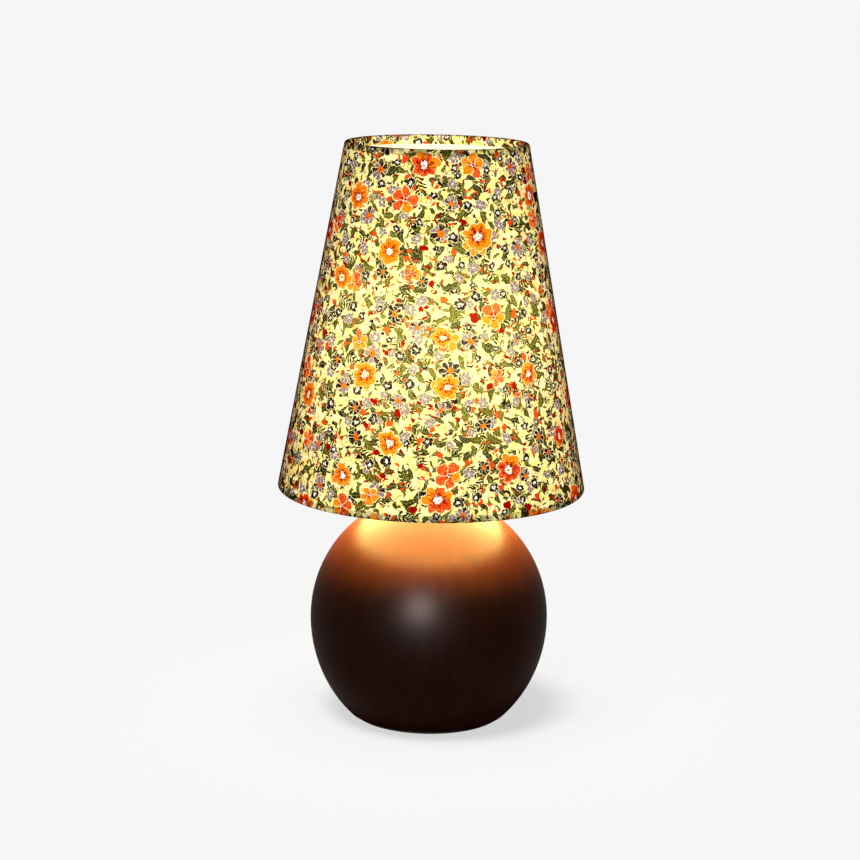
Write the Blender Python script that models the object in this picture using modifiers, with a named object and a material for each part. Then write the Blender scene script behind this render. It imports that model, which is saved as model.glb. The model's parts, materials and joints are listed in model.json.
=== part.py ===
"""A table lamp: a turned wooden ball, a switched screw lampholder, a bulb and a tapered fabric shade.

Metres, +Z up, standing on z = 0 with its front towards -Y and the cable inlet at the back. The shade
hangs on the lampholder's flange by a three-armed wire fitter, clamped there by a threaded ring.
"""

import math

import bmesh
import bpy
from mathutils import Vector

# Fits that several pieces share
SEAT_GAP = 0.0003
RUN_GAP = 0.0005
CUT_OVERRUN = 0.002
MERGE_DISTANCE = 0.000001

# Turned ball: two half ellipses that meet at the widest level, cut flat at foot and seat
BALL_RADIUS = 0.0781
BALL_EQUATOR_HEIGHT = 0.0640
BALL_UPPER_RISE = 0.0805
BALL_FOOT_RADIUS = 0.0518
BALL_FOOT_FILLET = 0.004
BALL_SEAT_RADIUS = 0.017
RECESS_DEPTH = 0.020
FOOT_BAND_WIDTH = 0.011
PLATE_LEDGE_WIDTH = 0.008

# Felt ring, cover plate and its screws
FELT_THICKNESS = 0.0015
FELT_MARGIN = 0.0012
PLATE_THICKNESS = 0.0025
PLATE_EDGE_FILLET = 0.0006
SCREW_SHANK_RADIUS = 0.0014
SCREW_HEAD_RADIUS = 0.0029
SCREW_HEAD_DEPTH = 0.0016
SCREW_LENGTH = 0.013
SCREW_TIP_LENGTH = 0.003

# Cable inlet through the back of the ball, with its bush
INLET_HEIGHT = 0.0125
BUSH_BORE_RADIUS = 0.0036
BUSH_WALL = 0.0009
BUSH_FLANGE_RADIUS = 0.0062
BUSH_FLANGE_THICKNESS = 0.0015
BUSH_LENGTH = 0.014
COUNTERBORE_LIP = 0.0006

# Hollow threaded tube that ties the ball together, with its nuts and washer
TUBE_RADIUS = 0.005
TUBE_BORE_RADIUS = 0.0038
TUBE_END_LENGTH = 0.0015
NUT_ACROSS_FLATS = 0.014
NUT_HEIGHT = 0.004
WASHER_RADIUS = 0.010
WASHER_THICKNESS = 0.0015

# Neck plate between ball and lampholder
NECK_PLATE_SETBACK = 0.0015
NECK_PLATE_THICKNESS = 0.002
NECK_PLATE_FILLET = 0.0009

# Screw shell that takes the bulb: the lampholder is built outwards from it
THREAD_SHELL_RADIUS = 0.0141
THREAD_SHELL_WALL = 0.0006
THREAD_SHELL_HEIGHT = 0.022
THREAD_SHELL_LIP = 0.004

# Lampholder skirt, with the flange that carries the shade
SKIRT_CLEARANCE = 0.0033
SKIRT_WALL = 0.0022
SKIRT_HEIGHT = 0.026
SKIRT_EDGE_FILLET = 0.0007
SPIGOT_WALL = 0.0018
SPIGOT_LENGTH = 0.0053
FLANGE_OVERHANG = 0.0021
FLANGE_THICKNESS = 0.0025

# Lampholder cap
CAP_WALL = 0.002
CAP_CORNER_FILLET = 0.004
CAP_NECK_RADIUS = 0.009
CAP_NECK_HEIGHT = 0.009
CAP_NECK_FILLET = 0.002
CAP_EDGE_FILLET = 0.0005
GRUB_SCREW_RADIUS = 0.0014
GRUB_HEIGHT_SHARE = 0.46

# Contact block inside the lampholder
BLOCK_WALL = 0.003
BLOCK_CHAMBER_HEIGHT = 0.0034
BLOCK_WEB = 0.0012
BLOCK_STANDOUT = 0.002
TERMINAL_RADIUS = 0.0021
TERMINAL_HEAD_RADIUS = 0.0029
TERMINAL_HEAD_THICKNESS = 0.0016
TERMINAL_SHANK_LENGTH = 0.004
TERMINAL_EDGE = 0.0017
CONTACT_WIDTH = 0.005
CONTACT_THICKNESS = 0.0005
CONTACT_RISE = 0.0037
CONTACT_SLOPE_LENGTH = 0.0035
CONTACT_PAD_LENGTH = 0.004

# Push-through switch bar
BAR_RADIUS = 0.0021
BAR_COVER = 0.0019
BUTTON_RADIUS = 0.0034
BUTTON_LENGTH = 0.0045
BUTTON_FILLET = 0.0012
BUTTON_STANDOFF = 0.0015
SWITCH_STROKE = 0.008

# Bulb
BULB_RADIUS = 0.030
BULB_LENGTH = 0.105
BULB_WALL = 0.001
BULB_SPHERE_END_DEGREES = -22
BULB_SHOULDER_SHARE = 0.42
BULB_NECK_SHARE = 0.55
BULB_CAP_WALL = 0.0006
BULB_CAP_MOUTH_SHARE = 0.66
BULB_CAP_LENGTH = 0.027
BULB_CAP_SHOULDER = 0.0035
BULB_INSULATOR_HEIGHT = 0.005
BULB_INSULATOR_RADIUS = 0.0048
BULB_CONTACT_RADIUS = 0.0038
BULB_CONTACT_HEIGHT = 0.0016
BULB_NECK_INSERTION = 0.006
STEM_HEIGHT = 0.044
STEM_FLARE_HEIGHT = 0.016
STEM_RADIUS = 0.0026
FILAMENT_COUNT = 4
FILAMENT_LENGTH = 0.032
FILAMENT_RADIUS = 0.0009
FILAMENT_STANDOUT = 0.006

# Clamping ring and its slip washer
RING_SETBACK = 0.001
RING_FLANGE_THICKNESS = 0.0022
RING_WALL = 0.0026
RING_HEIGHT = 0.008
RING_EDGE_FILLET = 0.0007
RING_NOTCH_COUNT = 18
RING_NOTCH_RADIUS = 0.0016
RING_NOTCH_OUTWARD_SHARE = 0.33
SLIP_WASHER_WIDTH = 0.0055
SLIP_WASHER_THICKNESS = 0.0005

# Shade
SHADE_BOTTOM_RADIUS = 0.100
SHADE_TOP_RADIUS = 0.059
SHADE_HEIGHT = 0.225
COVER_THICKNESS = 0.0004
LINER_THICKNESS = 0.0004
RIM_WIRE_RADIUS = 0.0012
HEM_WRAP_DEGREES = 214
HEM_TUCK_LENGTH = 0.001
SEAM_WIDTH = 0.008
SEAM_THICKNESS = 0.0004
SEAM_END_INSET = 0.0045

# Wire fitter that carries the shade
FITTER_RISE = 0.0295
FITTER_RING_MARGIN = 0.0046
FITTER_RING_THICKNESS = 0.0012
ARM_RADIUS = 0.0014
ARM_COUNT = 3
ARM_FLANGE_CLEARANCE = 0.0012
ARM_LEVEL_REACH = 0.046
ARM_UPPER_BEND = 0.014
ARM_LOWER_BEND = 0.007
ARM_FOOT_LENGTH = 0.006

# How finely round shapes are divided
BALL_SEGMENTS = 38
SHADE_SEGMENTS = 40
HOLDER_SEGMENTS = 28
BULB_SEGMENTS = 20
SMALL_SEGMENTS = 20
SCREW_SEGMENTS = 12
FOOT_STEPS = 3
FILLET_STEPS = 2
SHARP_ANGLE = math.radians(35)


def clear_scene():
    for obj in list(bpy.data.objects):
        bpy.data.objects.remove(obj, do_unlink=True)


def new_collection(name):
    collection = bpy.data.collections.new(name)
    bpy.context.scene.collection.children.link(collection)
    return collection


def new_material(name, colour, roughness, metallic=0.0):
    material = bpy.data.materials.new(name)
    material.use_nodes = True
    shader = material.node_tree.nodes["Principled BSDF"]
    shader.inputs["Base Color"].default_value = (*colour, 1.0)
    shader.inputs["Roughness"].default_value = roughness
    shader.inputs["Metallic"].default_value = metallic
    material.diffuse_color = (*colour, 1.0)
    return material


def file_under(obj, collection):
    """Moves an object that an operator made into its collection."""
    for other in list(obj.users_collection):
        other.objects.unlink(obj)
    collection.objects.link(obj)


def arc(centre, radius, start, end, steps):
    """Points of an arc in the profile plane, both ends included."""
    angles = [start + (end - start) * step / steps for step in range(steps + 1)]
    return [
        (centre[0] + radius * math.cos(angle), centre[1] + radius * math.sin(angle))
        for angle in angles
    ]


def rounded(corners, closed=True, steps=FILLET_STEPS):
    """An outline through corners given as (radius, height, fillet), with each fillet as an arc."""
    points = []
    last = len(corners) - 1
    for index, (across, up, fillet) in enumerate(corners):
        here = Vector((across, up))
        if fillet == 0 or (not closed and index in (0, last)):
            points.append((across, up))
            continue
        back = (Vector(corners[index - 1][:2]) - here).normalized()
        ahead = (Vector(corners[(index + 1) % len(corners)][:2]) - here).normalized()
        half = back.angle(ahead) / 2
        centre = here + (back + ahead).normalized() * fillet / math.sin(half)
        reach = fillet / math.tan(half)
        first = here + back * reach - centre
        final = here + ahead * reach - centre
        start = math.atan2(first.y, first.x)
        turn = math.remainder(math.atan2(final.y, final.x) - start, math.tau)
        points += arc(centre, fillet, start, start + turn, steps)
    return points


def bezier(start, pull_start, pull_end, end, steps):
    """Points along a cubic curve, both ends included."""
    points = []
    for step in range(steps + 1):
        along = step / steps
        left = 1 - along
        weights = (left**3, 3 * left**2 * along, 3 * left * along**2, along**3)
        corners = (start, pull_start, pull_end, end)
        points.append(
            tuple(sum(w * corner[axis] for w, corner in zip(weights, corners)) for axis in (0, 1))
        )
    return points


def shade_edges(mesh):
    mesh.shade_smooth()
    mesh.set_sharp_from_angle(angle=SHARP_ANGLE)


def settle(piece):
    """Makes what the modifiers give the piece's own mesh, smooth except at its sharp edges."""
    graph = bpy.context.evaluated_depsgraph_get()
    mesh = bpy.data.meshes.new_from_object(piece.evaluated_get(graph))
    mesh.name = piece.name
    piece.modifiers.clear()
    piece.data = mesh
    shade_edges(mesh)


def turned(name, outline, material, collection, segments=HOLDER_SEGMENTS, closed=True, wall=0.0):
    """A turned piece: an outline of (radius, height) swept once round Z.

    A closed outline leaves a bore. An open one starts and ends on the axis, or is a skin that gets
    a wall, half of it to each side.
    """
    sketch = bmesh.new()
    corners = [sketch.verts.new((across, 0, up)) for across, up in outline]
    for first, second in zip(corners, corners[1:]):
        sketch.edges.new((first, second))
    if closed:
        sketch.edges.new((corners[-1], corners[0]))
    mesh = bpy.data.meshes.new(name)
    sketch.to_mesh(mesh)
    sketch.free()
    piece = bpy.data.objects.new(name, mesh)
    collection.objects.link(piece)
    turn = piece.modifiers.new("turn", "SCREW")
    turn.steps = segments
    turn.render_steps = segments
    turn.use_merge_vertices = True
    turn.merge_threshold = MERGE_DISTANCE
    if wall:
        skin = piece.modifiers.new("wall", "SOLIDIFY")
        skin.thickness = wall
        skin.offset = 0
        skin.use_even_offset = True
    settle(piece)
    piece.data.materials.append(material)
    return piece


def cylinder_cutter(name, radius, depth, place, turn, collection, segments=SMALL_SEGMENTS):
    bpy.ops.mesh.primitive_cylinder_add(
        vertices=segments, radius=radius, depth=depth, location=place, rotation=turn
    )
    cutter = bpy.context.object
    cutter.name = name
    file_under(cutter, collection)
    cutter.hide_render = True
    cutter.display_type = "WIRE"
    return cutter


def cut(piece, cutter):
    hole = piece.modifiers.new(cutter.name, "BOOLEAN")
    hole.operation = "DIFFERENCE"
    hole.solver = "EXACT"
    hole.object = cutter


def flat_piece(name, loops, thickness, material, collection):
    """A flat piece cut from sheet: its outline and its holes, standing on z = 0."""
    outline = bpy.data.curves.new(name, "CURVE")
    outline.dimensions = "2D"
    outline.fill_mode = "BOTH"
    outline.extrude = thickness / 2
    for loop in loops:
        spline = outline.splines.new("POLY")
        spline.points.add(len(loop) - 1)
        for point, (across, along) in zip(spline.points, loop):
            point.co = (across, along, thickness / 2, 1)
        spline.use_cyclic_u = True
    piece = bpy.data.objects.new(name, outline)
    collection.objects.link(piece)
    outline.materials.append(material)
    return piece


def circle(radius, segments):
    return arc((0, 0), radius, 0, math.tau * (segments - 1) / segments, segments - 1)


def wire(name, points, radius, material, collection):
    """A round wire along points in space."""
    path = bpy.data.curves.new(name, "CURVE")
    path.dimensions = "3D"
    path.bevel_depth = radius
    path.bevel_resolution = 2
    path.use_fill_caps = True
    spline = path.splines.new("POLY")
    spline.points.add(len(points) - 1)
    for point, place in zip(spline.points, points):
        point.co = (*place, 1)
    piece = bpy.data.objects.new(name, path)
    collection.objects.link(piece)
    path.materials.append(material)
    return piece


def axis_empty(name, place, collection):
    """An empty on a joint's axis, which the pieces that move there are parented to."""
    empty = bpy.data.objects.new(name, None)
    empty.location = place
    empty.empty_display_size = BALL_SEAT_RADIUS
    collection.objects.link(empty)
    return empty


# How far below the widest level the lower ellipse would close, were it not cut flat at the foot
BALL_LOWER_DROP = BALL_EQUATOR_HEIGHT / math.sqrt(1 - (BALL_FOOT_RADIUS / BALL_RADIUS) ** 2)


def ball_radius_at(height):
    """The ball's outer radius at a height above its foot."""
    above = height - BALL_EQUATOR_HEIGHT
    reach = BALL_UPPER_RISE if above > 0 else BALL_LOWER_DROP
    return BALL_RADIUS * math.sqrt(1 - (above / reach) ** 2)


def foot_fillet():
    """Where the foot's fillet starts on the lower ellipse (as its angle), and the fillet's centre."""

    def centre_at(angle):
        across, down = math.cos(angle), math.sin(angle)
        normal = Vector((across / BALL_RADIUS, -down / BALL_LOWER_DROP)).normalized()
        surface = Vector((BALL_RADIUS * across, BALL_EQUATOR_HEIGHT - BALL_LOWER_DROP * down))
        return surface - normal * BALL_FOOT_FILLET

    low, high = 0.0, math.pi / 2
    for _ in range(40):
        middle = (low + high) / 2
        if centre_at(middle).y > BALL_FOOT_FILLET:
            low = middle
        else:
            high = middle
    return low, centre_at(low)


# Radii that follow from the ball's foot
FOOT_ANGLE, FOOT_CENTRE = foot_fillet()
FOOT_FLAT_RADIUS = FOOT_CENTRE.x
REBATE_RADIUS = FOOT_FLAT_RADIUS - FOOT_BAND_WIDTH
REBATE_DEPTH = PLATE_THICKNESS + SEAT_GAP
RECESS_RADIUS = REBATE_RADIUS - PLATE_LEDGE_WIDTH
SCREW_CIRCLE_RADIUS = REBATE_RADIUS - PLATE_LEDGE_WIDTH / 2
BALL_BORE_RADIUS = TUBE_RADIUS + SEAT_GAP
BUSH_RADIUS = BUSH_BORE_RADIUS + BUSH_WALL
COUNTERBORE_RADIUS = BUSH_FLANGE_RADIUS + SEAT_GAP

# Radii of the lampholder, from the screw shell out
THREAD_BORE_RADIUS = THREAD_SHELL_RADIUS - THREAD_SHELL_WALL
BULB_CAP_RADIUS = THREAD_BORE_RADIUS - RUN_GAP
BULB_NECK_RADIUS = BULB_CAP_RADIUS - BULB_CAP_WALL - SEAT_GAP
SKIRT_BORE_RADIUS = THREAD_SHELL_RADIUS + SKIRT_CLEARANCE
SKIRT_RADIUS = SKIRT_BORE_RADIUS + SKIRT_WALL
SPIGOT_RADIUS = SKIRT_BORE_RADIUS + SPIGOT_WALL
CAP_BORE_RADIUS = SPIGOT_RADIUS + SEAT_GAP
CAP_RADIUS = CAP_BORE_RADIUS + CAP_WALL
FLANGE_RADIUS = CAP_RADIUS + FLANGE_OVERHANG
FITTER_RING_RADIUS = FLANGE_RADIUS + FITTER_RING_MARGIN
RING_BORE_RADIUS = SKIRT_RADIUS + RUN_GAP
RING_FLANGE_RADIUS = FITTER_RING_RADIUS - RING_SETBACK
BLOCK_RADIUS = SKIRT_BORE_RADIUS - SEAT_GAP
CHAMBER_RADIUS = BLOCK_RADIUS - BLOCK_WALL
TERMINAL_CIRCLE_RADIUS = CHAMBER_RADIUS - TERMINAL_HEAD_RADIUS - TERMINAL_EDGE

# Heights inside the lampholder, above its foot
CAP_FLOOR = CAP_NECK_HEIGHT + CAP_WALL
BLOCK_FOOT = CAP_FLOOR + SEAT_GAP
CHAMBER_TOP = BLOCK_FOOT + BLOCK_CHAMBER_HEIGHT
BAR_HEIGHT = CHAMBER_TOP + BLOCK_WEB + RUN_GAP + BAR_RADIUS
SPIGOT_FOOT = BAR_HEIGHT + BAR_RADIUS + RUN_GAP + BAR_COVER
CAP_HEIGHT = SPIGOT_FOOT + SPIGOT_LENGTH - SEAT_GAP
BLOCK_TOP_HEIGHT = CAP_HEIGHT + BLOCK_STANDOUT

# Heights of the pieces stacked on the axis, from the table up
BALL_BASE = FELT_THICKNESS + SEAT_GAP
SEAT_ANGLE = math.acos(BALL_SEAT_RADIUS / BALL_RADIUS)
BALL_HEIGHT = BALL_EQUATOR_HEIGHT + BALL_UPPER_RISE * math.sin(SEAT_ANGLE)
NECK_PLATE_BASE = BALL_BASE + BALL_HEIGHT + SEAT_GAP
NECK_NUT_BASE = NECK_PLATE_BASE + NECK_PLATE_THICKNESS + SEAT_GAP
HOLDER_BASE = NECK_NUT_BASE + NUT_HEIGHT + SEAT_GAP
SKIRT_BASE = HOLDER_BASE + CAP_HEIGHT + SEAT_GAP
FITTER_BASE = SKIRT_BASE + FLANGE_THICKNESS + SEAT_GAP
SLIP_WASHER_BASE = FITTER_BASE + FITTER_RING_THICKNESS + SEAT_GAP
RING_BASE = SLIP_WASHER_BASE + SLIP_WASHER_THICKNESS + SEAT_GAP
BLOCK_TOP = HOLDER_BASE + BLOCK_TOP_HEIGHT
BULB_BASE = BLOCK_TOP + SEAT_GAP + CONTACT_RISE + CONTACT_THICKNESS + SEAT_GAP
SHADE_RIM = FITTER_BASE - FITTER_RISE

# The shade's rolled rims, whose wires lie on two circles
ROLL_RADIUS = RIM_WIRE_RADIUS + SEAT_GAP + COVER_THICKNESS
BOTTOM_WIRE = Vector((SHADE_BOTTOM_RADIUS - ROLL_RADIUS, ROLL_RADIUS))
TOP_WIRE = Vector((SHADE_TOP_RADIUS - ROLL_RADIUS, SHADE_HEIGHT - ROLL_RADIUS))
SLANT = (BOTTOM_WIRE - TOP_WIRE).normalized()
SLANT_NORMAL = Vector((-SLANT.y, SLANT.x))
COVER_PATH_RADIUS = ROLL_RADIUS - COVER_THICKNESS / 2


def ball_outline():
    """The ball's section: down the outside, round the foot and up the recess and the bore."""
    equator = BALL_EQUATOR_HEIGHT
    upper_steps = 9
    lower_steps = 6
    outline = []
    for step in range(upper_steps):
        angle = SEAT_ANGLE * (1 - step / upper_steps)
        outline.append((BALL_RADIUS * math.cos(angle), equator + BALL_UPPER_RISE * math.sin(angle)))
    for step in range(lower_steps):
        angle = FOOT_ANGLE * step / lower_steps
        outline.append((BALL_RADIUS * math.cos(angle), equator - BALL_LOWER_DROP * math.sin(angle)))
    leaving = math.atan2(
        -math.sin(FOOT_ANGLE) / BALL_LOWER_DROP, math.cos(FOOT_ANGLE) / BALL_RADIUS
    )
    outline += arc(FOOT_CENTRE, BALL_FOOT_FILLET, leaving, -math.pi / 2, FOOT_STEPS)
    outline += [
        (REBATE_RADIUS, 0),
        (REBATE_RADIUS, REBATE_DEPTH),
        (RECESS_RADIUS, REBATE_DEPTH),
        (RECESS_RADIUS, RECESS_DEPTH),
        (BALL_BORE_RADIUS, RECESS_DEPTH),
        (BALL_BORE_RADIUS, BALL_HEIGHT),
    ]
    return outline


def screw_places():
    """Where the cover plate's screws sit, one of them towards the front."""
    angles = [math.radians(-90 + 120 * number) for number in range(3)]
    return [
        (SCREW_CIRCLE_RADIUS * math.cos(angle), SCREW_CIRCLE_RADIUS * math.sin(angle))
        for angle in angles
    ]


def counterbore_floor():
    """How far back the flat floor of the inlet's counterbore lies."""
    return ball_radius_at(INLET_HEIGHT - COUNTERBORE_RADIUS) - COUNTERBORE_LIP


def make_ball(material, collection, cutters):
    ball = turned("ball_body", ball_outline(), material, collection, BALL_SEGMENTS)
    ball.location.z = BALL_BASE
    inlet_height = BALL_BASE + INLET_HEIGHT
    towards_back = (math.pi / 2, 0, 0)
    inner_end = RECESS_RADIUS - CUT_OVERRUN
    outer_end = BALL_RADIUS + CUT_OVERRUN
    bore = cylinder_cutter(
        "inlet_bore",
        BUSH_RADIUS + SEAT_GAP,
        outer_end - inner_end,
        (0, (outer_end + inner_end) / 2, inlet_height),
        towards_back,
        cutters,
    )
    cut(ball, bore)
    floor = counterbore_floor()
    counterbore = cylinder_cutter(
        "inlet_counterbore",
        COUNTERBORE_RADIUS,
        outer_end - floor,
        (0, (outer_end + floor) / 2, inlet_height),
        towards_back,
        cutters,
    )
    cut(ball, counterbore)
    for number, (across, along) in enumerate(screw_places(), 1):
        pilot_depth = SCREW_LENGTH + SEAT_GAP
        pilot = cylinder_cutter(
            f"pilot_hole_{number}",
            SCREW_SHANK_RADIUS + SEAT_GAP,
            pilot_depth,
            (across, along, BALL_BASE + pilot_depth / 2),
            (0, 0, 0),
            cutters,
            SCREW_SEGMENTS,
        )
        cut(ball, pilot)
    return ball


def make_felt(material, collection):
    outer = FOOT_FLAT_RADIUS - FELT_MARGIN
    inner = REBATE_RADIUS + FELT_MARGIN
    outline = [(outer, FELT_THICKNESS), (outer, 0), (inner, 0), (inner, FELT_THICKNESS)]
    return turned("felt_ring", outline, material, collection, BALL_SEGMENTS)


def make_bottom_plate(material, collection, cutters):
    edge = REBATE_RADIUS - SEAT_GAP
    corners = [
        (0, PLATE_THICKNESS, 0),
        (edge, PLATE_THICKNESS, PLATE_EDGE_FILLET),
        (edge, 0, PLATE_EDGE_FILLET),
        (0, 0, 0),
    ]
    outline = rounded(corners, closed=False)
    plate = turned("bottom_plate", outline, material, collection, BALL_SEGMENTS, closed=False)
    plate.location.z = BALL_BASE
    for number, (across, along) in enumerate(screw_places(), 1):
        sink = turned(
            f"countersink_{number}",
            screw_outline(SEAT_GAP),
            material,
            cutters,
            SCREW_SEGMENTS,
            closed=False,
        )
        sink.location = (across, along, BALL_BASE)
        sink.hide_render = True
        sink.display_type = "WIRE"
        cut(plate, sink)
    return plate


def screw_outline(margin=0.0):
    """A countersunk screw, head down. With a margin it is the hole that takes the screw."""
    head = SCREW_HEAD_RADIUS + margin
    shank = SCREW_SHANK_RADIUS + margin
    low = -margin - (CUT_OVERRUN if margin else 0)
    outline = [
        (0, SCREW_LENGTH + margin),
        (shank, SCREW_LENGTH - SCREW_TIP_LENGTH + margin),
        (shank, SCREW_HEAD_DEPTH + margin),
        (head, 0),
    ]
    if margin:
        outline.append((head, low))
    return outline + [(0, low)]


def make_plate_screws(material, collection):
    for number, (across, along) in enumerate(screw_places(), 1):
        screw = turned(
            f"plate_screw_{number}",
            screw_outline(),
            material,
            collection,
            SCREW_SEGMENTS,
            closed=False,
        )
        screw.location = (across, along, BALL_BASE)


def make_cable_bush(material, collection):
    """The inlet's liner, flanged where it seats on the counterbore's floor."""
    outline = [
        (BUSH_RADIUS, BUSH_LENGTH),
        (BUSH_RADIUS, BUSH_FLANGE_THICKNESS),
        (BUSH_FLANGE_RADIUS, BUSH_FLANGE_THICKNESS),
        (BUSH_FLANGE_RADIUS, 0),
        (BUSH_BORE_RADIUS, 0),
        (BUSH_BORE_RADIUS, BUSH_LENGTH),
    ]
    bush = turned("cable_bush", outline, material, collection, SMALL_SEGMENTS)
    bush.rotation_euler = (math.pi / 2, 0, 0)
    outer_face = counterbore_floor() + SEAT_GAP + BUSH_FLANGE_THICKNESS
    bush.location = (0, outer_face, BALL_BASE + INLET_HEIGHT)
    return bush


def make_threaded_tube(material, collection):
    low = BALL_BASE + RECESS_DEPTH - 3 * SEAT_GAP - WASHER_THICKNESS - NUT_HEIGHT - TUBE_END_LENGTH
    high = HOLDER_BASE + CAP_NECK_HEIGHT
    outline = [
        (TUBE_RADIUS, high - low),
        (TUBE_RADIUS, 0),
        (TUBE_BORE_RADIUS, 0),
        (TUBE_BORE_RADIUS, high - low),
    ]
    tube = turned("threaded_tube", outline, material, collection, SMALL_SEGMENTS)
    tube.location.z = low
    return tube


def make_nut(name, base, material, collection):
    corner_radius = NUT_ACROSS_FLATS / 2 / math.cos(math.pi / 6)
    loops = [circle(corner_radius, 6), circle(BALL_BORE_RADIUS, SMALL_SEGMENTS)]
    nut = flat_piece(name, loops, NUT_HEIGHT, material, collection)
    nut.location.z = base
    return nut


def make_tube_washer(material, collection):
    loops = [circle(WASHER_RADIUS, SMALL_SEGMENTS), circle(BALL_BORE_RADIUS, SMALL_SEGMENTS)]
    washer = flat_piece("tube_washer", loops, WASHER_THICKNESS, material, collection)
    washer.location.z = BALL_BASE + RECESS_DEPTH - SEAT_GAP - WASHER_THICKNESS
    return washer


def make_neck_plate(material, collection):
    edge = BALL_SEAT_RADIUS - NECK_PLATE_SETBACK
    corners = [
        (edge, NECK_PLATE_THICKNESS, NECK_PLATE_FILLET),
        (edge, 0, 0),
        (BALL_BORE_RADIUS, 0, 0),
        (BALL_BORE_RADIUS, NECK_PLATE_THICKNESS, 0),
    ]
    plate = turned("neck_plate", rounded(corners), material, collection, BULB_SEGMENTS)
    plate.location.z = NECK_PLATE_BASE
    return plate


def make_holder_cap(material, collection, cutters):
    inner_fillet = CAP_CORNER_FILLET - CAP_WALL
    corners = [
        (CAP_RADIUS, CAP_HEIGHT, CAP_EDGE_FILLET),
        (CAP_RADIUS, CAP_NECK_HEIGHT, CAP_CORNER_FILLET),
        (CAP_NECK_RADIUS, CAP_NECK_HEIGHT, CAP_NECK_FILLET),
        (CAP_NECK_RADIUS, 0, CAP_EDGE_FILLET),
        (BALL_BORE_RADIUS, 0, 0),
        (BALL_BORE_RADIUS, CAP_FLOOR, 0),
        (CAP_BORE_RADIUS, CAP_FLOOR, inner_fillet),
        (CAP_BORE_RADIUS, CAP_HEIGHT, 0),
    ]
    cap = turned("holder_cap", rounded(corners), material, collection)
    cap.location.z = HOLDER_BASE
    bar_hole = cylinder_cutter(
        "bar_hole",
        BAR_RADIUS + RUN_GAP,
        2 * (CAP_RADIUS + CUT_OVERRUN),
        (0, 0, HOLDER_BASE + BAR_HEIGHT),
        (0, math.pi / 2, 0),
        cutters,
        SMALL_SEGMENTS,
    )
    cut(cap, bar_hole)
    reach = CAP_NECK_RADIUS + CUT_OVERRUN
    grub_hole = cylinder_cutter(
        "grub_hole",
        GRUB_SCREW_RADIUS + SEAT_GAP,
        reach,
        (0, reach / 2, HOLDER_BASE + CAP_NECK_HEIGHT * GRUB_HEIGHT_SHARE),
        (math.pi / 2, 0, 0),
        cutters,
        SCREW_SEGMENTS,
    )
    cut(cap, grub_hole)
    return cap


def make_grub_screw(material, collection):
    """The screw in the cap's neck that locks it on the tube."""
    inner_end = TUBE_RADIUS + SEAT_GAP
    length = CAP_NECK_RADIUS - inner_end
    outline = [(0, length), (GRUB_SCREW_RADIUS, length), (GRUB_SCREW_RADIUS, 0), (0, 0)]
    screw = turned("grub_screw", outline, material, collection, SCREW_SEGMENTS, closed=False)
    screw.rotation_euler = (math.pi / 2, 0, 0)
    screw.location = (0, CAP_NECK_RADIUS, HOLDER_BASE + CAP_NECK_HEIGHT * GRUB_HEIGHT_SHARE)
    return screw


def make_holder_skirt(material, collection):
    """The lampholder's outer shell: a spigot in the cap, the shade's flange and the skirt above."""
    corners = [
        (SKIRT_RADIUS, SKIRT_HEIGHT, SKIRT_EDGE_FILLET),
        (SKIRT_RADIUS, FLANGE_THICKNESS, 0),
        (FLANGE_RADIUS, FLANGE_THICKNESS, SKIRT_EDGE_FILLET),
        (FLANGE_RADIUS, 0, SKIRT_EDGE_FILLET),
        (SPIGOT_RADIUS, 0, 0),
        (SPIGOT_RADIUS, -SPIGOT_LENGTH, 0),
        (SKIRT_BORE_RADIUS, -SPIGOT_LENGTH, 0),
        (SKIRT_BORE_RADIUS, SKIRT_HEIGHT, SKIRT_EDGE_FILLET),
    ]
    skirt = turned("holder_skirt", rounded(corners), material, collection)
    skirt.location.z = SKIRT_BASE
    return skirt


def make_contact_block(material, collection, cutters):
    """The insulating block that stands in the cap: the switch bar runs through it."""
    outline = [
        (0, BLOCK_TOP_HEIGHT - BLOCK_FOOT),
        (BLOCK_RADIUS, BLOCK_TOP_HEIGHT - BLOCK_FOOT),
        (BLOCK_RADIUS, 0),
        (CHAMBER_RADIUS, 0),
        (CHAMBER_RADIUS, BLOCK_CHAMBER_HEIGHT),
        (0, BLOCK_CHAMBER_HEIGHT),
    ]
    block = turned("contact_block", outline, material, collection, closed=False)
    block.location.z = HOLDER_BASE + BLOCK_FOOT
    bar_bore = cylinder_cutter(
        "bar_bore",
        BAR_RADIUS + RUN_GAP,
        2 * (BLOCK_RADIUS + CUT_OVERRUN),
        (0, 0, HOLDER_BASE + BAR_HEIGHT),
        (0, math.pi / 2, 0),
        cutters,
        SMALL_SEGMENTS,
    )
    cut(block, bar_bore)
    for number, side in enumerate((-1, 1), 1):
        depth = TERMINAL_SHANK_LENGTH + CUT_OVERRUN
        middle = CHAMBER_TOP + TERMINAL_SHANK_LENGTH - depth / 2
        hole = cylinder_cutter(
            f"terminal_hole_{number}",
            TERMINAL_RADIUS + SEAT_GAP,
            depth,
            (0, side * TERMINAL_CIRCLE_RADIUS, HOLDER_BASE + middle),
            (0, 0, 0),
            cutters,
            SCREW_SEGMENTS,
        )
        cut(block, hole)
    return block


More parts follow.
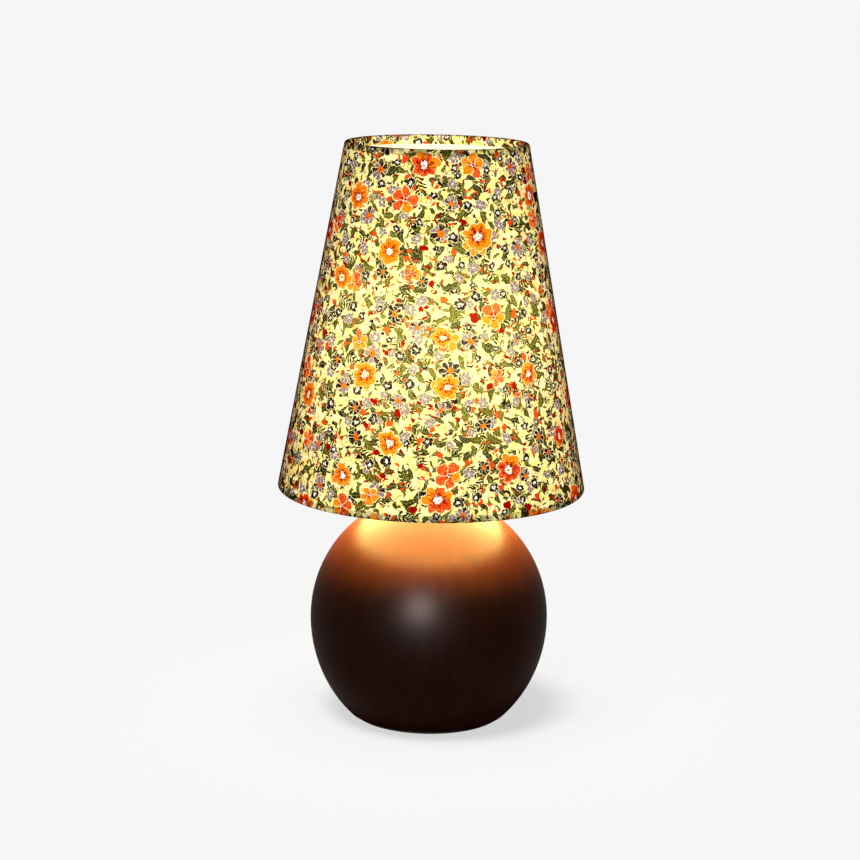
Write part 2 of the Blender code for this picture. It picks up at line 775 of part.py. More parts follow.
def make_terminal_screws(material, collection):
    shank_end = TERMINAL_SHANK_LENGTH - SEAT_GAP
    outline = [
        (0, shank_end),
        (TERMINAL_RADIUS, shank_end),
        (TERMINAL_RADIUS, -SEAT_GAP),
        (TERMINAL_HEAD_RADIUS, -SEAT_GAP),
        (TERMINAL_HEAD_RADIUS, -SEAT_GAP - TERMINAL_HEAD_THICKNESS),
        (0, -SEAT_GAP - TERMINAL_HEAD_THICKNESS),
    ]
    for number, side in enumerate((-1, 1), 1):
        name = f"terminal_screw_{number}"
        screw = turned(name, outline, material, collection, SCREW_SEGMENTS, closed=False)
        screw.location = (0, side * TERMINAL_CIRCLE_RADIUS, HOLDER_BASE + CHAMBER_TOP)


def make_thread_shell(material, collection):
    """The brass sleeve that takes the bulb's cap, with a lip that rests on the block."""
    lip_edge = THREAD_SHELL_RADIUS - THREAD_SHELL_LIP
    outline = [
        (THREAD_SHELL_RADIUS, THREAD_SHELL_HEIGHT),
        (THREAD_SHELL_RADIUS, 0),
        (lip_edge, 0),
        (lip_edge, THREAD_SHELL_WALL),
        (THREAD_BORE_RADIUS, THREAD_SHELL_WALL),
        (THREAD_BORE_RADIUS, THREAD_SHELL_HEIGHT),
    ]
    shell = turned("thread_shell", outline, material, collection)
    shell.location.z = BLOCK_TOP + SEAT_GAP
    return shell


def make_centre_contact(material, collection):
    """A bent spring strip: foot on the block, slope, and the pad under the bulb's tip."""
    pad_end = CONTACT_PAD_LENGTH / 2
    slope_end = -CONTACT_PAD_LENGTH / 2
    slope_start = slope_end - CONTACT_SLOPE_LENGTH
    lip_edge = THREAD_SHELL_RADIUS - THREAD_SHELL_LIP - SEAT_GAP
    foot_end = -math.sqrt(lip_edge**2 - (CONTACT_WIDTH / 2) ** 2)
    middle = CONTACT_THICKNESS / 2
    line = [
        (foot_end, middle),
        (slope_start, middle),
        (slope_end, middle + CONTACT_RISE),
        (pad_end, middle + CONTACT_RISE),
    ]
    strip = bmesh.new()
    rows = []
    for side in (-CONTACT_WIDTH / 2, CONTACT_WIDTH / 2):
        rows.append([strip.verts.new((across, side, up)) for across, up in line])
    edges = [strip.edges.new(pair) for row in rows for pair in zip(row, row[1:])]
    bmesh.ops.bridge_loops(strip, edges=edges)
    bmesh.ops.recalc_face_normals(strip, faces=strip.faces)
    mesh = bpy.data.meshes.new("centre_contact")
    strip.to_mesh(mesh)
    strip.free()
    piece = bpy.data.objects.new("centre_contact", mesh)
    collection.objects.link(piece)
    skin = piece.modifiers.new("wall", "SOLIDIFY")
    skin.thickness = CONTACT_THICKNESS
    skin.offset = 0
    skin.use_even_offset = True
    piece.location.z = BLOCK_TOP + SEAT_GAP
    mesh.materials.append(material)
    return piece


def make_switch_bar(material, collection):
    """The bar that is pushed through the cap from either side, with a button at each end."""
    inner = CAP_RADIUS + BUTTON_STANDOFF
    left_button = -inner
    right_button = inner + SWITCH_STROKE
    corners = [
        (0, right_button + BUTTON_LENGTH, 0),
        (BUTTON_RADIUS, right_button + BUTTON_LENGTH, BUTTON_FILLET),
        (BUTTON_RADIUS, right_button, 0),
        (BAR_RADIUS, right_button, 0),
        (BAR_RADIUS, left_button, 0),
        (BUTTON_RADIUS, left_button, 0),
        (BUTTON_RADIUS, left_button - BUTTON_LENGTH, BUTTON_FILLET),
        (0, left_button - BUTTON_LENGTH, 0),
    ]
    outline = rounded(corners, closed=False)
    bar = turned("switch_bar", outline, material, collection, SMALL_SEGMENTS, closed=False)
    bar.rotation_euler = (0, math.pi / 2, 0)
    bar.location = (0, 0, HOLDER_BASE + BAR_HEIGHT)
    return bar


def bulb_skin():
    """The bulb's glass, down from its top: part of a sphere, then a curve into the neck."""
    centre = BULB_LENGTH - BULB_RADIUS
    sphere_end = math.radians(BULB_SPHERE_END_DEGREES)
    line_radius = BULB_RADIUS - BULB_WALL / 2
    outline = arc((0, centre), line_radius, math.pi / 2, sphere_end, 8)
    outline[0] = (0, outline[0][1])
    start = outline.pop()
    neck_radius = BULB_NECK_RADIUS - BULB_WALL / 2
    neck_height = BULB_CAP_LENGTH
    drop = start[1] - neck_height
    pull_start = (
        start[0] + math.sin(sphere_end) * drop * BULB_SHOULDER_SHARE,
        start[1] - math.cos(sphere_end) * drop * BULB_SHOULDER_SHARE,
    )
    pull_end = (neck_radius, neck_height + drop * BULB_NECK_SHARE)
    outline += bezier(start, pull_start, pull_end, (neck_radius, neck_height), 4)
    outline.append((neck_radius, neck_height - BULB_NECK_INSERTION))
    return outline


def make_bulb(glass, metal, black_glass, solder, yellow, clear, collection):
    axis = axis_empty("bulb_axis", (0, 0, BULB_BASE), collection)
    envelope = turned(
        "bulb_glass",
        bulb_skin(),
        glass,
        collection,
        BULB_SEGMENTS,
        closed=False,
        wall=BULB_WALL,
    )
    shoulder = BULB_INSULATOR_HEIGHT + BULB_CAP_SHOULDER
    shoulder_bore = BULB_CAP_RADIUS * BULB_CAP_MOUTH_SHARE
    cap_outline = [
        (BULB_CAP_RADIUS, BULB_CAP_LENGTH),
        (BULB_CAP_RADIUS, shoulder),
        (shoulder_bore, BULB_INSULATOR_HEIGHT),
        (shoulder_bore - BULB_CAP_WALL, BULB_INSULATOR_HEIGHT),
        (shoulder_bore - BULB_CAP_WALL, BULB_INSULATOR_HEIGHT + BULB_CAP_WALL),
        (BULB_CAP_RADIUS - BULB_CAP_WALL, shoulder + BULB_CAP_WALL),
        (BULB_CAP_RADIUS - BULB_CAP_WALL, BULB_CAP_LENGTH),
    ]
    cap = turned("bulb_cap", cap_outline, metal, collection, BULB_SEGMENTS)
    insulator_outline = [
        (0, BULB_INSULATOR_HEIGHT - SEAT_GAP),
        (shoulder_bore, BULB_INSULATOR_HEIGHT - SEAT_GAP),
        (BULB_INSULATOR_RADIUS, BULB_CONTACT_HEIGHT + SEAT_GAP),
        (0, BULB_CONTACT_HEIGHT + SEAT_GAP),
    ]
    insulator = turned(
        "bulb_insulator", insulator_outline, black_glass, collection, SMALL_SEGMENTS, closed=False
    )
    dome_centre = (0, BULB_CONTACT_HEIGHT)
    dome = arc(dome_centre, BULB_CONTACT_RADIUS, 0, -math.pi / 2, FILLET_STEPS)
    squeeze = BULB_CONTACT_HEIGHT / BULB_CONTACT_RADIUS
    tip_outline = [dome_centre] + [
        (across, BULB_CONTACT_HEIGHT + (up - BULB_CONTACT_HEIGHT) * squeeze) for across, up in dome
    ]
    tip_outline[-1] = (0, tip_outline[-1][1])
    tip = turned("bulb_contact", tip_outline, solder, collection, SMALL_SEGMENTS, closed=False)
    stem = make_bulb_stem(clear, collection)
    filaments = make_filaments(yellow, collection)
    for piece in (envelope, cap, insulator, tip, stem, *filaments):
        piece.parent = axis


def make_bulb_stem(material, collection):
    """The glass foot that is fused into the bulb's neck and holds the light source."""
    low = BULB_CAP_LENGTH - BULB_NECK_INSERTION
    root_radius = BULB_NECK_RADIUS - BULB_WALL - SEAT_GAP
    outline = [
        (0, low + STEM_HEIGHT),
        (STEM_RADIUS, low + STEM_HEIGHT),
        (STEM_RADIUS, low + STEM_FLARE_HEIGHT),
        (root_radius, low + BULB_NECK_INSERTION / 2),
        (root_radius, low),
        (0, low),
    ]
    return turned("bulb_stem", outline, material, collection, SCREW_SEGMENTS, closed=False)


def make_filaments(material, collection):
    """The light-emitting rods that stand round the stem."""
    high = BULB_CAP_LENGTH - BULB_NECK_INSERTION + STEM_HEIGHT + FILAMENT_STANDOUT
    circle_radius = STEM_RADIUS + SEAT_GAP + FILAMENT_RADIUS
    filaments = []
    for number in range(FILAMENT_COUNT):
        angle = math.tau * (number + 0.5) / FILAMENT_COUNT
        across = circle_radius * math.cos(angle)
        along = circle_radius * math.sin(angle)
        ends = [(across, along, high - FILAMENT_LENGTH), (across, along, high)]
        name = f"filament_{number + 1}"
        filaments.append(wire(name, ends, FILAMENT_RADIUS, material, collection))
    return filaments


def make_clamping_ring(material, collection, cutters):
    """The threaded ring that clamps the shade's fitter, with finger notches round its flange."""
    corners = [
        (RING_BORE_RADIUS + RING_WALL, RING_HEIGHT, RING_EDGE_FILLET),
        (RING_BORE_RADIUS + RING_WALL, RING_FLANGE_THICKNESS, RING_EDGE_FILLET),
        (RING_FLANGE_RADIUS, RING_FLANGE_THICKNESS, RING_EDGE_FILLET),
        (RING_FLANGE_RADIUS, 0, 0),
        (RING_BORE_RADIUS, 0, 0),
        (RING_BORE_RADIUS, RING_HEIGHT, 0),
    ]
    ring = turned("shade_ring", rounded(corners), material, collection)
    ring.location.z = RING_BASE
    notches = bmesh.new()
    depth = RING_FLANGE_THICKNESS + 2 * CUT_OVERRUN
    for number in range(RING_NOTCH_COUNT):
        made = bmesh.ops.create_cone(
            notches,
            cap_ends=True,
            segments=6,
            radius1=RING_NOTCH_RADIUS,
            radius2=RING_NOTCH_RADIUS,
            depth=depth,
        )
        angle = math.tau * (number + 0.5) / RING_NOTCH_COUNT
        edge = RING_FLANGE_RADIUS + RING_NOTCH_RADIUS * RING_NOTCH_OUTWARD_SHARE
        place = Vector((edge * math.cos(angle), edge * math.sin(angle), RING_FLANGE_THICKNESS / 2))
        bmesh.ops.translate(notches, verts=made["verts"], vec=place)
    mesh = bpy.data.meshes.new("ring_notches")
    notches.to_mesh(mesh)
    notches.free()
    cutter = bpy.data.objects.new("ring_notches", mesh)
    cutters.objects.link(cutter)
    cutter.location.z = RING_BASE
    cutter.hide_render = True
    cutter.display_type = "WIRE"
    cut(ring, cutter)
    return ring


def make_slip_washer(material, collection):
    """The loose washer that lets the clamping ring turn without dragging the shade round."""
    edge = RING_BORE_RADIUS + SLIP_WASHER_WIDTH
    loops = [circle(edge, HOLDER_SEGMENTS), circle(RING_BORE_RADIUS, HOLDER_SEGMENTS)]
    washer = flat_piece("slip_washer", loops, SLIP_WASHER_THICKNESS, material, collection)
    washer.location.z = SLIP_WASHER_BASE
    return washer


def on_slant(origin, outward, along):
    """A point of the shade's section, from a rim wire: outward from the slant and down along it."""
    return origin + SLANT_NORMAL * outward + SLANT * along


def liner_offset():
    """How far inside the wires' line the middle of the liner lies."""
    return ROLL_RADIUS - COVER_THICKNESS - SEAT_GAP - LINER_THICKNESS / 2


def tuck_offset():
    """Where the hem's tucked end lies: against the inside of the liner."""
    return liner_offset() - LINER_THICKNESS / 2 - SEAT_GAP - COVER_THICKNESS / 2


def rolled_hem(origin, side):
    """The cover's line round one rim wire, from its outer face to the tucked end.

    side is 1 at the bottom rim, where the slant runs out past the wire, and -1 at the top.
    """
    wrap_steps = 4
    wrap = math.radians(HEM_WRAP_DEGREES)
    points = []
    for step in range(wrap_steps + 1):
        angle = wrap * step / wrap_steps
        outward = COVER_PATH_RADIUS * math.cos(angle)
        past = COVER_PATH_RADIUS * math.sin(angle)
        points.append(on_slant(origin, outward, side * past))
    leaving_out = -math.sin(wrap)
    leaving_past = math.cos(wrap)
    distance = (tuck_offset() - COVER_PATH_RADIUS * math.cos(wrap)) / leaving_out
    past = COVER_PATH_RADIUS * math.sin(wrap) + leaving_past * distance
    points.append(on_slant(origin, tuck_offset(), side * past))
    points.append(on_slant(origin, tuck_offset(), side * (past - HEM_TUCK_LENGTH)))
    return points


def cover_line():
    """The cover's section: tucked end, round the top wire, down the cone, round the bottom wire."""
    top = rolled_hem(TOP_WIRE, -1)
    bottom = rolled_hem(BOTTOM_WIRE, 1)
    return [tuple(point) for point in reversed(top)] + [tuple(point) for point in bottom]


def liner_line():
    """The liner's section: straight, from clear of one rim wire to clear of the other."""
    clear = RIM_WIRE_RADIUS + SEAT_GAP
    ends = [
        on_slant(TOP_WIRE, liner_offset(), clear),
        on_slant(BOTTOM_WIRE, liner_offset(), -clear),
    ]
    return [tuple(point) for point in ends]


def make_rim_wire(name, place, material, collection):
    bpy.ops.mesh.primitive_torus_add(
        major_segments=SHADE_SEGMENTS,
        minor_segments=6,
        major_radius=place.x,
        minor_radius=RIM_WIRE_RADIUS,
        location=(0, 0, 0),
    )
    rim = bpy.context.object
    rim.name = name
    rim.data.name = name
    file_under(rim, collection)
    rim.location.z = place.y
    shade_edges(rim.data)
    rim.data.materials.append(material)
    return rim


def make_seam(material, collection):
    """The strip of folded cloth where the cover's ends lap, straight down the back."""
    outward = ROLL_RADIUS + SEAT_GAP + SEAM_THICKNESS / 2
    inset = SEAM_END_INSET
    top = on_slant(TOP_WIRE, outward, inset)
    bottom = on_slant(BOTTOM_WIRE, outward, -inset)
    seam = bmesh.new()
    bmesh.ops.create_cube(seam, size=1)
    bmesh.ops.scale(
        seam, verts=seam.verts, vec=(SEAM_WIDTH, SEAM_THICKNESS, (top - bottom).length)
    )
    mesh = bpy.data.meshes.new("seam_lap")
    seam.to_mesh(mesh)
    seam.free()
    mesh.materials.append(material)
    piece = bpy.data.objects.new("seam_lap", mesh)
    collection.objects.link(piece)
    middle = (top + bottom) / 2
    piece.location = (0, middle.x, middle.y)
    piece.rotation_euler.x = math.atan2(bottom.x - top.x, top.y - bottom.y)
    return piece


def arm_points(angle):
    """One fitter arm: level under the ring, cranked down, and level again at the rim."""
    level = FITTER_RISE - SEAT_GAP - ARM_RADIUS
    foot = BOTTOM_WIRE.x - ROLL_RADIUS - SEAT_GAP
    corners = [
        (FLANGE_RADIUS + ARM_FLANGE_CLEARANCE, level, 0),
        (ARM_LEVEL_REACH, level, ARM_UPPER_BEND),
        (foot - ARM_FOOT_LENGTH, BOTTOM_WIRE.y, ARM_LOWER_BEND),
        (foot, BOTTOM_WIRE.y, 0),
    ]
    line = rounded(corners, closed=False)
    return [(across * math.cos(angle), across * math.sin(angle), up) for across, up in line]


def make_shade(cover_material, liner_material, wire_material, collection):
    axis = axis_empty("shade_axis", (0, 0, SHADE_RIM), collection)
    cover = turned(
        "shade_cover",
        cover_line(),
        cover_material,
        collection,
        SHADE_SEGMENTS,
        closed=False,
        wall=COVER_THICKNESS,
    )
    liner = turned(
        "shade_liner",
        liner_line(),
        liner_material,
        collection,
        SHADE_SEGMENTS,
        closed=False,
        wall=LINER_THICKNESS,
    )
    pieces = [
        cover,
        liner,
        make_rim_wire("top_rim_wire", TOP_WIRE, wire_material, collection),
        make_rim_wire("bottom_rim_wire", BOTTOM_WIRE, wire_material, collection),
        make_seam(cover_material, collection),
    ]
    loops = [circle(FITTER_RING_RADIUS, HOLDER_SEGMENTS), circle(RING_BORE_RADIUS, HOLDER_SEGMENTS)]
    fitter = flat_piece("fitter_ring", loops, FITTER_RING_THICKNESS, wire_material, collection)
    fitter.location.z = FITTER_RISE
    pieces.append(fitter)
    for number in range(ARM_COUNT):
        angle = math.pi / 2 + math.tau * number / ARM_COUNT
        name = f"fitter_arm_{number + 1}"
        pieces.append(wire(name, arm_points(angle), ARM_RADIUS, wire_material, collection))
    for piece in pieces:
        piece.parent = axis


def main():
    clear_scene()
    lamp = new_collection("table_lamp")
    cutters = new_collection("cutters")
    wood = new_material("dark_lacquered_wood", (0.030, 0.006, 0.004), 0.38)
    felt = new_material("black_felt", (0.020, 0.018, 0.017), 0.95)
    fibreboard = new_material("brown_fibreboard", (0.120, 0.070, 0.040), 0.85)
    zinc = new_material("zinc_plated_steel", (0.55, 0.56, 0.58), 0.35, 1.0)
    brass = new_material("brass", (0.78, 0.57, 0.25), 0.30, 1.0)
    holder_plastic = new_material("white_thermoplastic", (0.80, 0.78, 0.74), 0.40)
    ceramic = new_material("white_ceramic", (0.82, 0.81, 0.78), 0.30)
    black_plastic = new_material("black_plastic", (0.02, 0.02, 0.02), 0.45)
    print_cloth = new_material("floral_print_cotton", (0.85, 0.78, 0.45), 0.85)
    liner = new_material("white_liner", (0.88, 0.86, 0.80), 0.55)
    white_wire = new_material("white_coated_wire", (0.85, 0.84, 0.82), 0.40)
    opal_glass = new_material("opal_glass", (0.95, 0.92, 0.85), 0.25)
    nickel = new_material("nickel_plated_brass", (0.70, 0.69, 0.66), 0.28, 1.0)
    black_glass = new_material("black_glass", (0.015, 0.012, 0.020), 0.12)
    solder = new_material("solder", (0.60, 0.60, 0.60), 0.45, 1.0)
    clear_glass = new_material("clear_glass", (0.85, 0.90, 0.90), 0.05)
    phosphor = new_material("yellow_phosphor", (0.90, 0.65, 0.15), 0.60)

    make_ball(wood, lamp, cutters)
    make_felt(felt, lamp)
    make_bottom_plate(fibreboard, lamp, cutters)
    make_plate_screws(zinc, lamp)
    make_cable_bush(black_plastic, lamp)
    make_threaded_tube(zinc, lamp)
    make_tube_washer(zinc, lamp)
    tube_nut_base = (
        BALL_BASE + RECESS_DEPTH - SEAT_GAP - WASHER_THICKNESS - SEAT_GAP - NUT_HEIGHT
    )
    make_nut("tube_nut", tube_nut_base, zinc, lamp)
    make_neck_plate(brass, lamp)
    make_nut("neck_nut", NECK_NUT_BASE, brass, lamp)
    make_holder_cap(holder_plastic, lamp, cutters)
    make_grub_screw(zinc, lamp)
    make_holder_skirt(holder_plastic, lamp)
    make_contact_block(ceramic, lamp, cutters)
    make_terminal_screws(brass, lamp)
    make_thread_shell(brass, lamp)
    make_centre_contact(brass, lamp)
    make_switch_bar(holder_plastic, lamp)
    make_bulb(opal_glass, nickel, black_glass, solder, phosphor, clear_glass, lamp)
    make_clamping_ring(holder_plastic, lamp, cutters)
    make_slip_washer(zinc, lamp)
    make_shade(print_cloth, liner, white_wire, lamp)


main()
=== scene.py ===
"""The looks of a table lamp: printed cloth shade, opal bulb, screw lampholder and turned wooden ball.

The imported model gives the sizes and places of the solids. This file dresses them, piece by piece.
"""
import json
import math
from collections import namedtuple

import bmesh
import bpy
from bpy.props import FloatProperty, FloatVectorProperty, PointerProperty
from bpy.types import Operator, Panel, PropertyGroup
from mathutils import Matrix, Vector


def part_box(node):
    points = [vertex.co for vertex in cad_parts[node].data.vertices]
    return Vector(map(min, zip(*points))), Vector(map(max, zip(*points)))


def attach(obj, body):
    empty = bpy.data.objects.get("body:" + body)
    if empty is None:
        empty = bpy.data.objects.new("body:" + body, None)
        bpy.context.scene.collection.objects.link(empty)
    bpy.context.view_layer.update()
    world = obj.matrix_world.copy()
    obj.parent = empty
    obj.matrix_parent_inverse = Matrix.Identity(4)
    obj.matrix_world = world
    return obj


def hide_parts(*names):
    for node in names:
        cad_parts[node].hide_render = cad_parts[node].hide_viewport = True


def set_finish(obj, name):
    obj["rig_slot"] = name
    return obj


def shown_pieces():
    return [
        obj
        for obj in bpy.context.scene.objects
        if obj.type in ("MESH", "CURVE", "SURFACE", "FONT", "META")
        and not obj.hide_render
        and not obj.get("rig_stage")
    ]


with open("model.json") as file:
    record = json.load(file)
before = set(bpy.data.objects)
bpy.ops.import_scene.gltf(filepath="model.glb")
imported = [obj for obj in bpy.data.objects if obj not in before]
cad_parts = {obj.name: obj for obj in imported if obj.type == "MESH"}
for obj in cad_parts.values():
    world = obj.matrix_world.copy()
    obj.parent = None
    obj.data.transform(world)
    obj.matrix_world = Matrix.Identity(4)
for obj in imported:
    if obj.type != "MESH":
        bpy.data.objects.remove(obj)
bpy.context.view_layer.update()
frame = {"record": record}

bl_info = {
    "name": "Table Lamp Dressing",
    "version": (1, 0, 0),
    "blender": (4, 5, 0),
    "location": "3D View > Sidebar > Lamp",
    "description": "Models and finishes the pieces of a table lamp with a printed cloth shade",
    "category": "Object",
}

MM = 0.001
MERGE_DISTANCE = 0.000001
SHARP_ANGLE = math.radians(32)
CLOTH_MAP = "cloth"
ALONG_LAYER = "along"
FINISH_NAME = "{}_finish"
NOTCH_COUNT = 18
NOTCH_OFFSET = 0.33
FIT = 0.3 * MM
THREE_TURNS = [math.tau * part / 3 for part in range(3)]

# How finely round pieces are divided
BALL_SEGMENTS = 180
SHADE_SEGMENTS = 180
HOLDER_SEGMENTS = 120
BULB_SEGMENTS = 96
RING_SEGMENTS = 360
SMALL_SEGMENTS = 48


def measured(node):
    """A CAD node's box: its low and high corners, its middle and half its size."""
    low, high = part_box(node)
    return low, high, (low + high) / 2, (high - low) / 2


def plain(name, description, default, **more):
    return FloatProperty(name=name, description=description, default=default, **more)


def length(name, description, default):
    """A size that a user may change, in metres."""
    return plain(name, description, default, min=0.0, precision=5, unit="LENGTH")


def angle(name, description, degrees):
    return plain(name, description, math.radians(degrees), unit="ROTATION")


def share(name, description, default):
    return plain(name, description, default, subtype="FACTOR")


def watts(name, description, default):
    return plain(name, description, default, unit="POWER")


def colour(name, description, red, green, blue):
    """A colour that a user may change, given as it is seen, from 0 to 255."""
    return FloatVectorProperty(
        name=name,
        description=description,
        default=[linear(part) for part in (red, green, blue)],
        min=0.0,
        max=1.0,
        subtype="COLOR",
        size=3,
    )


def linear(part):
    """One part of a colour as light, from its value on a screen between 0 and 255."""
    level = part / 255
    return level / 12.92 if level <= 0.04045 else ((level + 0.055) / 1.055) ** 2.4


# Sizes and colours that a user may change


class LampShadeSizes(PropertyGroup):
    wire_radius: length("Rim wire", "Radius of the wires in the shade's rims", 1.2 * MM)
    cloth: length("Cloth", "Thickness of the printed cloth", 0.4 * MM)
    liner: length("Liner", "Thickness of the white liner behind the cloth", 0.4 * MM)
    gap: length("Gap", "Gap between pieces that touch", 0.3 * MM)
    hem_wrap: angle("Hem wrap", "How far the cloth goes round a rim wire", 214)
    hem_tuck: length("Hem tuck", "Length of the hem that lies against the liner", 1.0 * MM)
    seam_width: length("Seam", "Width of the lapped seam down the back", 8.0 * MM)
    seam_inset: length("Seam inset", "How far the lap ends from a rim wire", 4.5 * MM)
    arm_radius: length("Arm", "Radius of the fitter's arms", 1.4 * MM)
    arm_level: length("Arm level", "How far out the arms run level", 46.0 * MM)
    arm_upper_bend: length("Upper bend", "Radius of the arms' upper bend", 14.0 * MM)
    arm_lower_bend: length("Lower bend", "Radius of the arms' lower bend", 7.0 * MM)
    arm_foot: length("Arm foot", "Length of the arms' level foot at the rim", 6.0 * MM)
    thread: length("Thread", "Distance from one thread of the cloth to the next", 0.5 * MM)


class LampBaseSizes(PropertyGroup):
    equator: length("Widest level", "Height of the ball's widest level above its foot", 64.0 * MM)
    upper_rise: length("Upper rise", "Height of the upper half ellipse", 80.5 * MM)
    foot_radius: length("Foot radius", "Radius at which the ball's side meets its foot", 51.8 * MM)
    foot_fillet: length("Foot fillet", "Radius of the rounded edge at the foot", 4.0 * MM)
    ledge: length("Plate ledge", "Width of the ledge that carries the cover plate", 8.0 * MM)
    recess: length("Recess", "Depth of the recess for the wiring", 20.0 * MM)
    bore: length("Bore", "Radius of the bore for the threaded tube", 5.3 * MM)
    plate_fillet: length("Plate edge", "Rounding of the cover plate's edge", 0.6 * MM)
    felt_margin: length("Felt margin", "How far the felt ring lies in from the foot's edges", 1.2 * MM)
    screw_shank: length("Screw shank", "Radius of the plate screws' shank", 1.4 * MM)
    screw_pitch: length("Screw pitch", "Pitch of the plate screws' thread", 1.3 * MM)
    bush_bore: length("Bush bore", "Radius of the cable bush's bore", 3.6 * MM)
    bush_wall: length("Bush wall", "Wall of the cable bush", 0.9 * MM)
    bush_flange: length("Bush flange", "Thickness of the cable bush's flange", 1.5 * MM)
    tube_bore: length("Tube bore", "Radius of the threaded tube's bore", 3.8 * MM)
    tube_pitch: length("Tube pitch", "Pitch of the threaded tube's thread", 1.0 * MM)
    tube_thread: length("Tube thread", "Depth of the threaded tube's thread", 0.3 * MM)


class LampBulbSizes(PropertyGroup):
    wall: length("Glass wall", "Thickness of the bulb's glass", 1.0 * MM)
    sphere_end: angle("Sphere end", "Where the round top gives way to the neck", -22)
    cap_wall: length("Cap wall", "Thickness of the screw cap's sheet", 0.6 * MM)
    cap_mouth: length("Cap mouth", "Radius of the cap's lower end", 8.58 * MM)
    cap_shoulder: length("Cap shoulder", "Height of the cap's tapered lower end", 3.5 * MM)
    pitch: length("Thread pitch", "Pitch of the bulb's screw thread", 3.629 * MM)
    thread: length("Thread depth", "Depth of the bulb's rolled thread", 0.9 * MM)
    stem: length("Stem", "Radius of the glass stem", 2.6 * MM)
    neck_inset: length("Neck inset", "How far the glass's neck lies inside the cap", 1.4 * MM)


class LampHolderSizes(PropertyGroup):
    edge: length("Edges", "Rounding of the moulded edges", 0.7 * MM)
    cap_wall: length("Cap wall", "Wall of the cap", 2.0 * MM)
    cap_corner: length("Cap corner", "Rounding where the cap's floor turns up", 4.0 * MM)
    neck: length("Neck", "Radius of the cap's neck", 9.0 * MM)
    neck_height: length("Neck height", "Height of the cap's neck", 9.0 * MM)
    skirt: length("Skirt", "Outer radius of the threaded skirt", 19.6 * MM)
    skirt_wall: length("Skirt wall", "Wall of the skirt", 2.2 * MM)
    spigot_wall: length("Spigot wall", "Wall of the skirt's spigot in the cap", 1.8 * MM)
    spigot: length("Spigot", "Length of the spigot", 5.3 * MM)
    flange: length("Flange", "Thickness of the flange that carries the shade", 2.5 * MM)
    pitch: length("Thread pitch", "Pitch of the thread that takes the clamping ring", 2.5 * MM)
    thread: length("Thread depth", "Depth of that thread", 0.45 * MM)
    ring_wall: length("Ring wall", "Wall of the clamping ring", 2.6 * MM)
    ring_flange: length("Ring flange", "Thickness of the clamping ring's flange", 2.2 * MM)
    notch: length("Notch", "Radius of the ring's finger notches", 1.6 * MM)
    shell_wall: length("Shell wall", "Thickness of the screw shell's sheet", 0.6 * MM)
    shell_lip: length("Shell lip", "How far in the screw shell's foot is turned", 4.0 * MM)
    block_wall: length("Block wall", "Wall round the chamber under the block", 3.0 * MM)
    chamber: length("Chamber", "Height of the chamber under the block", 3.4 * MM)
    terminal: length("Terminals", "Radius of the terminal screws' shanks", 2.1 * MM)
    contact: length("Centre contact", "Thickness of the spring strip", 0.5 * MM)
    bar: length("Switch bar", "Radius of the push-through bar", 2.1 * MM)
    button: length("Button", "Length of the bar's buttons", 4.5 * MM)
    run: length("Running gap", "Clearance round pieces that move", 0.5 * MM)


class LampPrintColours(PropertyGroup):
    ground: colour("Ground", "The cloth between the motifs", 255, 251, 168)
    wash: colour("Wash", "Pale leaves in the ground", 255, 247, 146)
    orange: colour("Orange", "Large petals", 240, 146, 62)
    red: colour("Red", "Inner petals, buds and dots", 204, 66, 30)
    yellow: colour("Yellow", "Yellow flowers", 250, 188, 42)
    lilac: colour("Lilac", "Grey lilac daisies", 190, 174, 142)
    navy: colour("Navy", "Small dark flowers", 84, 70, 58)
    plum: colour("Plum", "Second colour of the small dark flowers", 110, 78, 62)
    leaf: colour("Leaf", "Olive leaves", 150, 146, 40)
    dark_leaf: colour("Dark leaf", "Darker leaves and stalks", 112, 110, 26)
    outline: colour("Hairline", "Thin outlined flowers in the ground", 222, 196, 112)
    cream: colour("Cream", "Flower eyes", 255, 252, 216)


class LampFinishColours(PropertyGroup):
    wood: colour("Wood", "Dark stained wood under satin lacquer", 66, 25, 4)
    wood_dark: colour("Wood grain", "The grain's darker lines", 54, 17, 3)
    liner: colour("Liner", "White liner film", 232, 226, 208)
    wire: colour("Wire", "White coated steel", 236, 234, 228)
    plastic: colour("Lampholder", "White thermoplastic", 232, 229, 220)
    ceramic: colour("Ceramic", "White fired contact block", 232, 231, 226)
    brass: colour("Brass", "Bright brass", 226, 196, 132)
    zinc: colour("Zinc", "Zinc plated steel", 196, 198, 200)
    nickel: colour("Nickel", "Nickel plated brass of the bulb's cap", 214, 210, 202)
    solder: colour("Solder", "Dull solder of the bulb's contact", 168, 168, 166)
    felt: colour("Felt", "Black felt under the foot", 34, 32, 31)
    fibreboard: colour("Fibreboard", "Brown cover plate", 112, 78, 52)
    black: colour("Black plastic", "Cable bush", 26, 26, 27)
    opal: colour("Opal glass", "The bulb's glass", 250, 244, 228)
    glass: colour("Clear glass", "The bulb's stem", 236, 242, 240)
    phosphor: colour("Phosphor", "The light source's yellow coating", 244, 206, 84)


